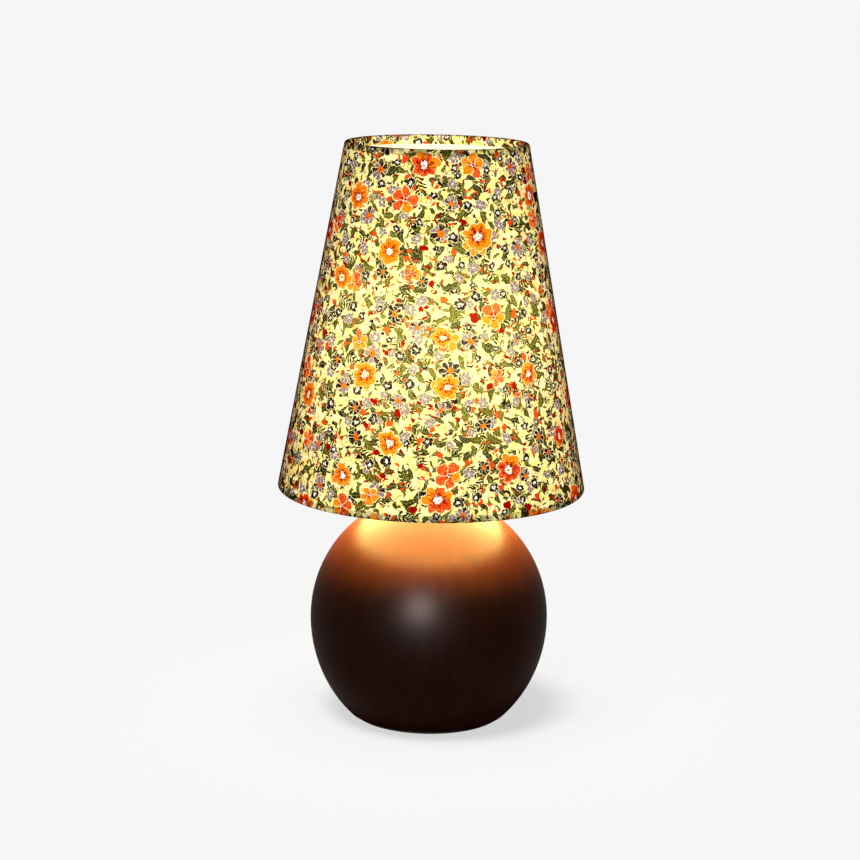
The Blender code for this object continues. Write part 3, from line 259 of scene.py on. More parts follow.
class LampLight(PropertyGroup):
    warm: colour("Bulb light", "Colour of the bulb's light", 255, 208, 140)
    lit_glass: colour("Lit glass", "Colour of the lit bulb's glass", 255, 246, 226)
    on_liner: colour("Lit liner", "Colour of the bulb's light on the liner", 255, 253, 236)
    glow: plain("Glow", "Light through the cloth beside the bulb", 1.75, min=0.0)
    glow_liner: plain("Liner glow", "Light on the liner beside the bulb", 1.40, min=0.0)
    glow_glass: plain("Glass glow", "Light through the bulb's glass", 1.4, min=0.0)
    least_share: share("Least glow", "Share of the glow that reaches the ends of the shade", 0.72)
    ink_depth: share("Ink beside the bulb", "How deep the ink looks beside the bulb", 0.35)
    ink_depth_ends: plain("Ink at the ends", "How deep the ink looks at the shade's ends", 1.5)
    ink_depth_coat: share("Ink aslant", "How much the ink deepens when it is seen aslant", 0.95)
    cloth_tint: colour("Cloth aslant", "What the cloth itself lets pass", 229, 224, 229)
    spread: length("Spread", "Height over which the glow fades by half", 62.0 * MM)
    bulb_watts: watts("Bulb on the ball", "Power of the bulb's light on the ball", 22.0)
    near_watts: watts("Bulb on fittings", "Power of its light on the parts beside it", 0.10)
    thrown_watts: watts("Thrown down", "Power that the liner throws down", 0.12)
    gleam_watts: watts("Gleam", "Power of the light that the ball's lacquer mirrors", 5.2)


class LampStage(PropertyGroup):
    camera_place: FloatVectorProperty(
        name="Camera",
        description="Where the camera stands",
        default=(-0.00133, -1.5, 0.5023),
        subtype="TRANSLATION",
        unit="LENGTH",
    )
    camera_pitch: angle("Pitch", "How far the camera looks down", 11.73)
    camera_roll: angle("Roll", "How far the camera leans to its left", 1.0)
    lens: plain("Lens", "Focal length on a 36 mm sensor", 98.50, unit="CAMERA")
    backdrop: colour("Backdrop", "The pale floor and what lies behind it", 246, 246, 246)
    fill: plain("Fill", "Even light from all around", 0.18)
    key_power: plain("Key", "Power of the light that draws the shadow", 2.6)
    front_watts: watts("Front", "Power of the light from the front", 118)
    floor_evenness: share("Floor evenness", "Share of the floor's look that no shadow dims", 0.68)


# Materials


class Net:
    """A node tree in the making: each method adds one node and gives back its output."""

    def __init__(self, tree):
        self.tree = tree

    def add(self, kind, **settings):
        node = self.tree.nodes.new(kind)
        for name, value in settings.items():
            setattr(node, name, value)
        return node

    def feed(self, socket, value):
        if isinstance(value, bpy.types.NodeSocket):
            self.tree.links.new(value, socket)
        elif socket.type == "RGBA" and len(value) == 3:
            socket.default_value = (*value, 1.0)
        else:
            socket.default_value = value

    def set(self, shader, **values):
        """Feeds a shader's inputs, by their names with underscores for spaces."""
        for name, value in values.items():
            self.feed(shader.inputs[name.replace("_", " ")], value)

    def math(self, operation, *values):
        node = self.add("ShaderNodeMath", operation=operation)
        for socket, value in zip(node.inputs, values):
            self.feed(socket, value)
        return node.outputs[0]

    def times(self, first, *others):
        for other in others:
            first = self.math("MULTIPLY", first, other)
        return first

    def fit(self, value, factor, plus):
        return self.math("MULTIPLY_ADD", value, factor, plus)

    def less(self, value, other):
        return self.math("SUBTRACT", value, other)

    def absolute(self, value):
        return self.math("ABSOLUTE", value)

    def below(self, value, limit):
        """1 where the value is below the limit."""
        return self.math("LESS_THAN", value, limit)

    def above(self, value, limit):
        return self.math("GREATER_THAN", value, limit)

    def vector(self, operation, *values):
        node = self.add("ShaderNodeVectorMath", operation=operation)
        for socket, value in zip(node.inputs, values):
            self.feed(socket, value)
        return node.outputs["Value" if operation in ("LENGTH", "DISTANCE") else "Vector"]

    def scaled(self, vector, scale):
        node = self.add("ShaderNodeVectorMath", operation="SCALE")
        self.feed(node.inputs["Vector"], vector)
        self.feed(node.inputs["Scale"], scale)
        return node.outputs["Vector"]

    def split(self, vector):
        node = self.add("ShaderNodeSeparateXYZ")
        self.feed(node.inputs[0], vector)
        return node.outputs

    def turned(self, vector, turn):
        """The vector turned about Z by an angle that may come from a node."""
        node = self.add("ShaderNodeVectorRotate", rotation_type="Z_AXIS")
        self.feed(node.inputs["Vector"], vector)
        self.feed(node.inputs["Angle"], turn)
        return node.outputs[0]

    def placed(self, vector, shift=(0, 0, 0), turn=0.0, scale=(1, 1, 1)):
        node = self.add("ShaderNodeMapping")
        self.feed(node.inputs["Vector"], vector)
        node.inputs["Location"].default_value = shift
        node.inputs["Rotation"].default_value = (0, 0, turn)
        node.inputs["Scale"].default_value = scale
        return node.outputs[0]

    def mix(self, share_over, under, over, blend="MIX"):
        node = self.add("ShaderNodeMix", data_type="RGBA", blend_type=blend)
        self.feed(node.inputs["Factor"], share_over)
        self.feed(node.inputs["A"], under)
        self.feed(node.inputs["B"], over)
        return node.outputs["Result"]

    def ramp(self, value, low, high, out_low=0.0, out_high=1.0):
        node = self.add("ShaderNodeMapRange", interpolation_type="SMOOTHSTEP")
        for socket, part in zip(node.inputs, (value, low, high, out_low, out_high)):
            self.feed(socket, part)
        return node.outputs[0]

    def noise(self, vector, size, detail=2.0, dimensions="3D"):
        """Soft noise whose lumps are about size metres across."""
        node = self.add("ShaderNodeTexNoise", noise_dimensions=dimensions)
        self.feed(node.inputs["Vector"], vector)
        node.inputs["Scale"].default_value = 1 / size
        node.inputs["Detail"].default_value = detail
        return node.outputs

    def power(self, tone, exponent):
        node = self.add("ShaderNodeGamma")
        self.feed(node.inputs["Color"], tone)
        self.feed(node.inputs["Gamma"], exponent)
        return node.outputs[0]

    def bump(self, height, distance, strength=1.0):
        node = self.add("ShaderNodeBump")
        node.inputs["Strength"].default_value = strength
        node.inputs["Distance"].default_value = distance
        self.feed(node.inputs["Height"], height)
        return node.outputs[0]

    def coordinates(self):
        """The place on the piece, in metres."""
        return self.add("ShaderNodeTexCoord").outputs["Object"]


def new_material(slot):
    """The finish for a slot, with its net and its Principled shader."""
    material = bpy.data.materials.new(FINISH_NAME.format(slot))
    material.use_nodes = True
    shader = material.node_tree.nodes["Principled BSDF"]
    return material, Net(material.node_tree), shader


def finish(name, tone, roughness, metallic=0.0, lump=2 * MM, unevenness=0.06, relief=0.02 * MM, **more):
    """A plain finish that is never quite even: its tone, gloss and surface vary a little.

    lump is the size of that unevenness, and more holds other values of the shader.
    """
    material, net, shader = new_material(name)
    place = net.coordinates()
    fine = net.noise(place, lump, 3.0)[0]
    broad = net.noise(place, lump * 9, 2.0)[0]
    dim = [part * (1 - 2 * unevenness) for part in tone]
    low = max(roughness - 0.06, 0.02)
    net.set(
        shader,
        Base_Color=net.mix(broad, dim, tone),
        Roughness=net.ramp(fine, 0.3, 0.7, low, roughness + 0.06),
        Normal=net.bump(fine, relief, 0.5),
        Metallic=metallic,
        **more,
    )
    material.diffuse_color = (*tone, 1.0)
    return material


# The print: motifs strewn over the cloth, kind by kind, the small ones first

# Each kind sits in cells of its own size. Stray is how far a motif may lie from its cell's middle,
# present is the share of cells that hold one, turn is the angle at which the cells lie on the cloth,
# and least and greatest are its sizes against the one drawn.
Kind = namedtuple("Kind", "cell stray present turn least greatest")
WASH_LEAVES = Kind(6.4 * MM, 0.70, 0.95, 4.0, 0.8, 1.3)
HAIRLINE_FLOWERS = Kind(11.0 * MM, 0.60, 0.85, 0.4, 0.7, 1.2)
DOTS = Kind(4.4 * MM, 0.90, 0.60, 1.9, 0.6, 1.3)
BITS = Kind(5.2 * MM, 0.80, 0.75, 3.1, 0.6, 1.3)
SPRIGS = Kind(16.5 * MM, 0.60, 0.62, 0.9, 0.8, 1.3)
SMALL_LEAVES = Kind(6.6 * MM, 0.65, 0.80, 2.3, 0.6, 1.2)
LEAVES = Kind(9.6 * MM, 0.60, 0.86, 5.1, 0.7, 1.1)
BIG_LEAVES = Kind(18.5 * MM, 0.65, 0.80, 1.5, 0.7, 1.1)
BERRIES = Kind(17.5 * MM, 0.70, 0.60, 3.7, 0.7, 1.2)
BUDS = Kind(14.0 * MM, 0.75, 0.62, 4.4, 0.6, 1.0)
DARK_FLOWERS = Kind(14.5 * MM, 0.75, 0.70, 1.2, 0.7, 1.25)
SMALL_DAISIES = Kind(17.0 * MM, 0.70, 0.70, 2.6, 0.7, 1.2)
DAISIES = Kind(27.0 * MM, 0.65, 0.75, 0.2, 0.75, 1.15)
YELLOW_FLOWERS = Kind(44.0 * MM, 0.60, 0.80, 2.9, 0.7, 1.15)
LARGE_FLOWERS = Kind(47.0 * MM, 0.50, 0.90, 5.8, 0.65, 1.0)

# How a flower is drawn: petals are drawn between a dip and their tip, streaks run out from the ring,
# partings divide the petals, and an eye with a pip sits in the middle.
Flower = namedtuple("Flower", "petals radius dip halo ring streaks parting eye pip")
FlowerTones = namedtuple("FlowerTones", "petal other_petal rare_petal streak parting eye pip")
DARK_FLOWER = Flower(5, 3.0 * MM, 0.36, 0.3 * MM, 0, 0, 0, 1.0 * MM, 0.35 * MM)
SMALL_DAISY = Flower(6, 3.3 * MM, 0.40, 0.3 * MM, 0, 0, 0.16, 0.8 * MM, 0.4 * MM)
DAISY = Flower(8, 5.4 * MM, 0.30, 0.4 * MM, 1.9 * MM, 0, 0.22, 1.3 * MM, 0.6 * MM)
YELLOW_FLOWER = Flower(5, 7.4 * MM, 0.44, 0.4 * MM, 1.2 * MM, 1.8 * MM, 0.14, 1.2 * MM, 0.8 * MM)
LARGE_FLOWER = Flower(7, 9.6 * MM, 0.28, 0.5 * MM, 3.0 * MM, 3.6 * MM, 0.10, 2.4 * MM, 0.9 * MM)


class Strewn:
    """One kind of motif: where a point of the cloth lies within the motif nearest to it."""

    def __init__(self, net, cloth, kind):
        cloth = net.placed(cloth, (kind.turn, kind.turn / 3, 0), kind.turn)
        cells = net.add("ShaderNodeTexVoronoi", voronoi_dimensions="2D", feature="F1")
        net.feed(cells.inputs["Vector"], cloth)
        cells.inputs["Scale"].default_value = 1 / kind.cell
        cells.inputs["Randomness"].default_value = kind.stray
        lots = net.split(cells.outputs["Color"])
        self.net = net
        self.lot = lots[2]
        self.shown = net.below(lots[1], kind.present)
        self.number = net.times(self.lot, 97.0)
        other_lot = net.math("FRACT", self.number)
        size = net.fit(other_lot, kind.greatest - kind.least, kind.least)
        away = net.vector("SUBTRACT", cloth, cells.outputs["Position"])
        away = net.turned(away, net.times(lots[0], math.tau))
        self.place = net.scaled(away, net.math("DIVIDE", 1.0, size))
        self.reach = net.vector("LENGTH", self.place)
        across = net.split(self.place)
        self.x, self.y = across[0], across[1]
        self.angle = net.math("ARCTAN2", self.y, self.x)

    def within(self, radius):
        """1 where the point is nearer to the motif's middle than radius."""
        return self.net.below(self.reach, radius)

    def petals(self, count, radius, dip):
        """The motif's edge along this direction: petal tips at radius, dips between them."""
        net = self.net
        wave = net.absolute(net.math("COSINE", net.times(self.angle, count / 2)))
        rounded = net.math("POWER", wave, 0.6)
        return net.fit(rounded, radius * dip, radius * (1 - dip)), wave

    def petal_lot(self, count):
        """A lot that each petal draws for itself."""
        net = self.net
        turns = net.fit(self.angle, count / math.tau, count + 0.5)
        petal = net.math("FLOORED_MODULO", net.math("FLOOR", turns), count)
        drawn = net.add("ShaderNodeTexWhiteNoise", noise_dimensions="1D")
        net.feed(drawn.inputs["W"], net.math("ADD", petal, net.times(self.number, 9.0)))
        return drawn.outputs["Value"]

    def paint(self, under, mask, tone):
        mask = self.net.times(mask, self.shown)
        return self.net.mix(mask, under, tone)


def either(net, lot, first, second):
    """One of two tones, by the motif's lot."""
    return net.mix(net.above(lot, 0.5), first, second)


def paint_flowers(net, cloth, dye, kind, shape, tones, halo):
    """Round flowers: a halo of ground, petals, streaks out of a ring, and an eye.

    Where tones has a rare petal, a third of the flowers have petals of that tone.
    """
    spots = Strewn(net, cloth, kind)
    edge, wave = spots.petals(shape.petals, shape.radius, shape.dip)
    lot = spots.petal_lot(shape.petals)
    edge = net.times(edge, net.fit(lot, 0.22, 0.85))
    dye = spots.paint(dye, spots.within(net.math("ADD", edge, shape.halo)), halo)
    petal = net.mix(net.above(lot, 0.62), tones.petal, tones.other_petal)
    if tones.rare_petal:
        petal = net.mix(net.above(spots.lot, 0.66), petal, tones.rare_petal)
    inside = spots.within(edge)
    dye = spots.paint(dye, inside, petal)
    grain = net.noise(cloth, 0.9 * MM, 1.0, "2D")[0]
    worn = net.times(inside, net.above(grain, 0.60))
    dye = spots.paint(dye, worn, net.mix(0.35, petal, halo))
    if shape.streaks:
        streak = net.times(net.math("POWER", wave, 1.4), shape.streaks)
        streak = net.math("ADD", net.times(streak, net.ramp(grain, 0.35, 0.6)), shape.ring)
        dye = spots.paint(dye, spots.within(streak), tones.streak)
    elif shape.ring:
        dye = spots.paint(dye, spots.within(shape.ring), tones.streak)
    if shape.parting:
        outside_ring = net.above(spots.reach, shape.ring)
        parting = net.times(net.below(wave, shape.parting), inside, outside_ring)
        dye = spots.paint(dye, parting, tones.parting)
    frayed = net.times(net.ramp(grain, 0.3, 0.7, 0.7, 1.3), shape.eye)
    dye = spots.paint(dye, spots.within(frayed), tones.eye)
    return spots.paint(dye, spots.within(shape.pip), tones.pip)


def paint_outlines(net, cloth, dye, tone):
    """Flowers drawn with a hairline only."""
    spots = Strewn(net, cloth, HAIRLINE_FLOWERS)
    for radius, petals in ((3.8 * MM, 6), (1.2 * MM, 2)):
        edge, _ = spots.petals(petals, radius, 0.34)
        off = net.absolute(net.less(spots.reach, edge))
        dye = spots.paint(dye, net.below(off, 0.20 * MM), tone)
    return dye


def paint_dots(net, cloth, dye, first, second):
    spots = Strewn(net, cloth, DOTS)
    return spots.paint(dye, spots.within(0.50 * MM), either(net, spots.lot, first, second))


def paint_bits(net, cloth, dye, tones):
    """Loose petals and leaflets, crooked like commas."""
    spots = Strewn(net, cloth, BITS)
    bend = net.times(net.times(spots.x, spots.x), 0.30 / MM)
    off = net.absolute(net.less(spots.y, bend))
    squares = net.fit(off, off, net.times(spots.x, spots.x, 0.16))
    shape = net.below(squares, (0.68 * MM) ** 2)
    drawn = net.math("FRACT", net.times(spots.number, 3.0))
    tone = either(net, spots.lot, tones[0], tones[1])
    tone = net.mix(net.above(drawn, 0.55), tone, tones[2])
    tone = net.mix(net.above(drawn, 0.85), tone, tones[3])
    return spots.paint(dye, shape, tone)


def paint_sprigs(net, cloth, dye, tone):
    """Fern sprigs: a stalk with pairs of narrow leaflets."""
    spots = Strewn(net, cloth, SPRIGS)
    half = 5.4 * MM
    spacing = 2.0 * MM
    leaflet = 3.2 * MM
    along = net.absolute(spots.x)
    off = net.absolute(spots.y)
    stalk = net.below(off, 0.24 * MM)
    lean = net.fit(off, -0.75, spots.x)
    step = net.less(net.math("FLOORED_MODULO", lean, spacing), spacing / 2)
    out = net.fit(off, 2 / leaflet, -1.0)
    width = net.fit(net.times(out, out), -0.68 * MM, 0.68 * MM)
    leaflets = net.below(net.absolute(step), width)
    shape = net.math("MAXIMUM", stalk, leaflets)
    return spots.paint(dye, net.times(shape, net.below(along, half)), tone)


def paint_leaves(net, cloth, dye, kind, half_length, half_width, tones):
    """Bent leaves, pointed at both ends, with a rib and side veins left pale."""
    spots = Strewn(net, cloth, kind)
    ends = net.math("DIVIDE", spots.x, half_length)
    squared = net.times(ends, ends)
    off = net.less(spots.y, net.times(squared, half_width * 0.8))
    aside = net.absolute(off)
    hump = net.math("MAXIMUM", net.less(1.0, squared), 0.0)
    width = net.times(hump, half_width)
    leaf = net.below(aside, width)
    tone = either(net, spots.lot, tones["leaf"], tones["dark_leaf"])
    dye = spots.paint(dye, leaf, tone)
    lean = net.fit(aside, -0.9, spots.x)
    veins = net.less(net.math("FLOORED_MODULO", lean, 1.9 * MM), 0.95 * MM)
    vein = net.below(net.absolute(veins), 0.20 * MM)
    rib = net.below(aside, 0.17 * MM)
    pale = net.math("MAXIMUM", rib, vein)
    inner = net.below(aside, net.fit(width, 0.86, -0.22 * MM))
    return spots.paint(dye, net.times(pale, inner), net.mix(0.4, tone, tones["rib"]))


def paint_berries(net, cloth, dye, tone, stalk_tone):
    """Three berries on short stalks."""
    spots = Strewn(net, cloth, BERRIES)
    third = math.tau / 3
    turned = net.less(net.math("FLOORED_MODULO", spots.angle, third), third / 2)
    out = net.times(spots.reach, net.math("COSINE", turned))
    off = net.absolute(net.times(spots.reach, net.math("SINE", turned)))
    stalk = net.times(net.below(off, 0.17 * MM), spots.within(2.0 * MM))
    dye = spots.paint(dye, stalk, stalk_tone)
    beyond = net.less(out, 2.3 * MM)
    squares = net.fit(beyond, beyond, net.times(off, off))
    return spots.paint(dye, net.below(squares, (0.95 * MM) ** 2), tone)


def paint_buds(net, cloth, dye, first, second, stalk_tone):
    """Closed buds, round at one end and pointed where their stalk starts."""
    spots = Strewn(net, cloth, BUDS)
    turned = net.fit(net.math("COSINE", spots.angle), 0.5, 0.5)
    edge = net.times(net.math("POWER", turned, 0.8), 3.8 * MM)
    stalk = net.below(net.absolute(spots.y), 0.26 * MM)
    dye = spots.paint(dye, net.times(stalk, spots.within(2.8 * MM)), stalk_tone)
    return spots.paint(dye, spots.within(edge), either(net, spots.lot, first, second))


def print_group(colours):
    """The printed cloth as a node group that gives the dye at a place."""
    tree = bpy.data.node_groups.new("small_flower_print", "ShaderNodeTree")
    tree.interface.new_socket("Cloth", in_out="INPUT", socket_type="NodeSocketVector")
    tree.interface.new_socket("Dye", in_out="OUTPUT", socket_type="NodeSocketColor")
    net = Net(tree)
    flat = net.add("NodeGroupInput").outputs["Cloth"]
    cloth = flat
    for size, throw in ((6.5 * MM, 3.4 * MM), (1.7 * MM, 1.2 * MM)):
        shake = net.noise(flat, size, 1.0, "2D")["Color"]
        shake = net.scaled(net.vector("SUBTRACT", shake, (0.5, 0.5, 0.5)), throw)
        cloth = net.vector("ADD", cloth, shake)
    ink = colours
    green = {"leaf": ink.leaf, "dark_leaf": ink.dark_leaf, "rib": ink.ground}
    wash = {"leaf": ink.wash, "dark_leaf": ink.wash, "rib": ink.ground}
    dye = net.mix(0.0, ink.ground, ink.ground)
    dye = paint_leaves(net, cloth, dye, WASH_LEAVES, 4.2 * MM, 1.6 * MM, wash)
    dye = paint_outlines(net, cloth, dye, ink.outline)
    dye = paint_sprigs(net, cloth, dye, ink.dark_leaf)
    dye = paint_leaves(net, cloth, dye, SMALL_LEAVES, 2.9 * MM, 1.0 * MM, green)
    dye = paint_leaves(net, cloth, dye, LEAVES, 4.6 * MM, 1.75 * MM, green)
    dye = paint_bits(net, cloth, dye, (ink.orange, ink.leaf, ink.red, ink.navy))
    dye = paint_dots(net, cloth, dye, ink.red, ink.dark_leaf)
    dye = paint_leaves(net, cloth, dye, BIG_LEAVES, 6.4 * MM, 2.6 * MM, green)
    dye = paint_berries(net, cloth, dye, ink.orange, ink.dark_leaf)
    dye = paint_buds(net, cloth, dye, ink.red, ink.orange, ink.dark_leaf)
    for kind, shape, *names in (
        (SMALL_DAISIES, SMALL_DAISY, "lilac", "lilac", None, None, "ground", "cream", "orange"),
        (DARK_FLOWERS, DARK_FLOWER, "navy", "plum", None, None, None, "cream", "plum"),
        (DAISIES, DAISY, "lilac", "plum", "navy", "orange", "ground", "yellow", "red"),
        (YELLOW_FLOWERS, YELLOW_FLOWER, "yellow", "orange", None, "red", "ground", "cream", "red"),
        (LARGE_FLOWERS, LARGE_FLOWER, "orange", "yellow", "yellow", "red", "red", "cream", "yellow"),
    ):
        tones = [name and getattr(ink, name) for name in names]
        dye = paint_flowers(net, cloth, dye, kind, shape, FlowerTones(*tones), ink.ground)
    out = net.add("NodeGroupOutput")
    net.feed(out.inputs["Dye"], dye)
    return tree


def glow_at(net, light, bulb_height):
    """How brightly the shade is lit from inside at a height, 1 beside the bulb."""
    height = net.split(net.coordinates())[2]
    off = net.math("DIVIDE", net.less(height, bulb_height), light.spread)
    fade = net.math("DIVIDE", 1.0, net.fit(off, off, 1.0))
    return net.fit(fade, 1 - light.least_share, light.least_share)


def cloth_material(colours, light, shade, rims, bulb_height):
    """Printed cotton, lit through from behind.

    rims are the distances from the cone's tip at which the cloth turns over its two wires.
    """
    material, net, shader = new_material("floral_print_cotton")
    flat = net.add("ShaderNodeUVMap", uv_map=CLOTH_MAP).outputs[0]
    group = net.add("ShaderNodeGroup", node_tree=print_group(colours))
    net.feed(group.inputs["Cloth"], flat)
    dye = group.outputs["Dye"]
    from_tip = net.vector("LENGTH", flat)
    band = 5.0 * MM
    soft = 0.5 * MM
    top, bottom = rims
    near_top = net.ramp(from_tip, top + band, top + band - soft)
    near_bottom = net.ramp(from_tip, bottom - band, bottom - band + soft)
    doubled = net.math("MAXIMUM", near_top, near_bottom)
    inside_top = net.below(from_tip, top - 1.5 * MM)
    inside_bottom = net.above(from_tip, bottom + 1.5 * MM)
    inside = net.math("MAXIMUM", inside_top, inside_bottom)
    # Less light comes through the doubled hem bands; blotches of painted shadow stand for the turned-in
    # hem's print seen against the light
    behind = net.noise(flat, 4.2 * MM, 1.0, "2D")[0]
    behind = net.ramp(behind, 0.46, 0.54, 0.22, 0.62)
    let_through = net.mix(doubled, (1.0, 1.0, 1.0), behind)
    let_through = net.mix(inside, let_through, (0.9, 0.9, 0.9))
    slub = net.noise(net.placed(flat, scale=(0.08, 1, 1)), 0.9 * MM, 2.0, "2D")[0]
    slub_up = net.noise(net.placed(flat, scale=(1, 0.08, 1)), 0.9 * MM, 2.0, "2D")[0]
    even = net.fit(net.math("ADD", slub, slub_up), 0.30, 0.70)
    glow = glow_at(net, light, bulb_height)
    level = net.times(net.times(glow, light.glow), even)
    ground = tuple(colours.ground)
    ink = net.vector("DIVIDE", dye, ground)
    # Beside the bulb the ink is overpowered; towards the ends it keeps its depth
    depth = net.ramp(glow, light.least_share, 1.0, light.ink_depth_ends, light.ink_depth)
    lit = net.mix(1.0, net.power(ink, depth), ground, "MULTIPLY")
    lit = net.mix(1.0, lit, let_through, "MULTIPLY")
    net.set(shader, Emission_Color=net.scaled(lit, level), Emission_Strength=1.0)
    net.set(shader, Base_Color=dye, Roughness=0.85, Specular_IOR_Level=0.1)
    # Looked at aslant, the ink is seen through a longer way and so looks darker
    net.set(shader, Coat_Weight=1.0, Coat_IOR=1.0, Coat_Roughness=1.0)
    clear = net.vector("MINIMUM", net.power(ink, light.ink_depth_coat), (1.0, 1.0, 1.0))
    clear = net.vector("MULTIPLY", clear, tuple(light.cloth_tint))
    across = net.split(net.scaled(flat, math.tau / shade.thread))
    over = net.times(net.math("SINE", across[0]), net.math("SINE", across[1]))
    net.set(shader, Coat_Tint=clear, Normal=net.bump(over, 0.06 * MM, 0.6))
    material.cycles.emission_sampling = "NONE"
    return material


def liner_material(tone, light, bulb_height):
    """White film behind the cloth, bright with the bulb's light."""
    material, net, shader = new_material("white_liner")
    cloudy = net.noise(net.coordinates(), 6 * MM, 3.0)[0]
    level = net.times(glow_at(net, light, bulb_height), light.glow_liner)
    level = net.times(level, net.ramp(cloudy, 0.2, 0.8, 0.94, 1.0))
    warm = net.mix(1.0, tone, light.on_liner, "MULTIPLY")
    # The film throws little back, for its glow already holds the light thrown to and fro
    dim = [part * 0.45 for part in tone]
    net.set(
        shader,
        Emission_Color=net.scaled(warm, level),
        Emission_Strength=1.0,
        Base_Color=net.mix(cloudy, [part * 0.92 for part in dim], dim),
        Roughness=0.5,
        Normal=net.bump(cloudy, 0.02 * MM, 0.4),
    )
    material.cycles.emission_sampling = "NONE"
    return material


def wood_material(tone, grain_tone):
    """Close-grained wood, stained nearly black and lacquered to a satin gloss."""
    material, net, shader = new_material("dark_lacquered_wood")
    place = net.coordinates()
    figure = net.noise(net.placed(place, scale=(1, 1, 0.12)), 7 * MM, 4.0)[0]
    pores = net.noise(net.placed(place, scale=(1, 1, 0.06)), 0.7 * MM, 2.0)[0]
    cloudy = net.noise(place, 45 * MM, 2.0)[0]
    streaks = net.times(net.ramp(figure, 0.35, 0.70), net.ramp(cloudy, 0.3, 0.7, 0.5, 1.0))
    height = net.fit(net.ramp(pores, 0.55, 0.75), -1.0, figure)
    net.set(
        shader,
        Base_Color=net.mix(streaks, tone, grain_tone),
        Roughness=net.ramp(cloudy, 0.3, 0.7, 0.38, 0.42),
        Specular_IOR_Level=0.08,
        Normal=net.bump(height, 0.03 * MM, 0.35),
    )
    material.diffuse_color = (*tone, 1.0)
    return material


def opal_material(tone, light):
    """Lit opal glass: the light itself comes from the lamps in the studio."""
    material, net, shader = new_material("opal_glass")
    cloudy = net.noise(net.coordinates(), 12 * MM, 2.0)[0]
    lit = light.lit_glass
    net.set(
        shader,
        Base_Color=net.mix(cloudy, [part * 0.97 for part in tone], tone),
        Emission_Color=net.mix(cloudy, [part * 0.96 for part in lit], lit),
        Emission_Strength=light.glow_glass,
        Roughness=0.2,
    )
    material.cycles.emission_sampling = "NONE"
    return material


# The plain finishes: the tone's name, the roughness, and what else sets each apart
PLAIN_FINISHES = {
    "black_felt": (
        "felt", 0.92, {"lump": 0.5 * MM, "unevenness": 0.22, "relief": 0.3 * MM, "Sheen_Weight": 0.4}
    ),
    "brown_fibreboard": (
        "fibreboard", 0.8, {"lump": 0.6 * MM, "unevenness": 0.14, "relief": 0.05 * MM}
    ),
    "zinc_plated_steel": ("zinc", 0.34, {"metallic": 1.0, "lump": 0.8 * MM}),
    "brass": ("brass", 0.27, {"metallic": 1.0, "lump": 1.2 * MM}),
    "nickel_plated_brass": ("nickel", 0.24, {"metallic": 1.0}),
    "solder": ("solder", 0.45, {"metallic": 1.0, "unevenness": 0.15, "relief": 0.1 * MM}),
    "white_thermoplastic": ("plastic", 0.38, {"lump": 0.7 * MM, "unevenness": 0.02}),
    "white_coated_wire": ("wire", 0.36, {"lump": 0.5 * MM, "unevenness": 0.03, "relief": 0.04 * MM}),
    "white_ceramic": ("ceramic", 0.25, {"unevenness": 0.02}),
    "black_plastic": ("black", 0.42, {"lump": 0.6 * MM}),
    "black_glass": ("black", 0.12, {}),
    "clear_glass": ("glass", 0.08, {"unevenness": 0.01, "Transmission_Weight": 1.0}),
    "yellow_phosphor": ("phosphor", 0.6, {"unevenness": 0.05, "Emission_Strength": 3.0}),
}


def finish_materials(scene):
    """Makes all finishes, named for the record's slots."""
    tones = scene.lamp_finishes
    light = scene.lamp_light
    bulb_height = bulb_centre().z
    wood_material(tones.wood, tones.wood_dark)
    cloth_material(scene.lamp_print, light, scene.lamp_shade, cloth_rims(scene.lamp_shade), bulb_height)
    liner_material(tones.liner, light, bulb_height)
    opal_material(tones.opal, light)
    for slot, (name, roughness, more) in PLAIN_FINISHES.items():
        tone = getattr(tones, name)
        if "Emission_Strength" in more:
            more = {**more, "Emission_Color": tone}
        finish(slot, tone, roughness, **more)


def finish_for(slot):
    """The finish for a slot, made with all the others when the first is asked for."""
    name = FINISH_NAME.format(slot)
    if name not in bpy.data.materials:
        finish_materials(bpy.context.scene)
    return bpy.data.materials[name]


# Pieces

# Roundings of small edges
STAMPED = 0.1 * MM
SLIGHT = 0.2 * MM
FINE = 0.3 * MM
THIN_EDGE = 0.35 * MM
SOFT = 0.5 * MM
OVERRUN = 2 * MM


def slot_of(node):
    """The record's material slot of a CAD node."""
    for row in frame["record"]["subparts"]:
        if row["node"] == node:
            return row["material_slot"]
    raise KeyError(node)


def body_of_node(node):
    for body, nodes in frame["record"]["behaviour"]["bodies"].items():
        if node in nodes:
            return body
    raise KeyError(node)


def shade_edges(mesh):
    mesh.shade_smooth()
    mesh.set_sharp_from_angle(angle=SHARP_ANGLE)


def new_object(name, form):
    """An object in the scene, with the form as its mesh."""
    mesh = bpy.data.meshes.new(name)
    form.to_mesh(mesh)
    form.free()
    made = bpy.data.objects.new(name, mesh)
    bpy.context.scene.collection.objects.link(made)
    return made


def add_piece(name, form, node):
    """Makes a shaped mesh the piece that stands for a CAD node."""
    piece = new_object(name, form)
    shade_edges(piece.data)
    slot = slot_of(node)
    piece.data.materials.append(finish_for(slot))
    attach(piece, body_of_node(node))
    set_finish(piece, slot)
    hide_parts(node)
    return piece


def settled(piece):
    """Applies the piece's modifiers to its mesh."""
    graph = bpy.context.evaluated_depsgraph_get()
    mesh = bpy.data.meshes.new_from_object(piece.evaluated_get(graph))
    old = piece.data
    piece.modifiers.clear()
    piece.data = mesh
    bpy.data.meshes.remove(old)
    mesh.name = piece.name
    shade_edges(mesh)
    return piece


def arc(centre, radius, start, end, steps):
    turns = [start + (end - start) * step / steps for step in range(steps + 1)]
    return [centre + radius * Vector((math.cos(turn), math.sin(turn))) for turn in turns]


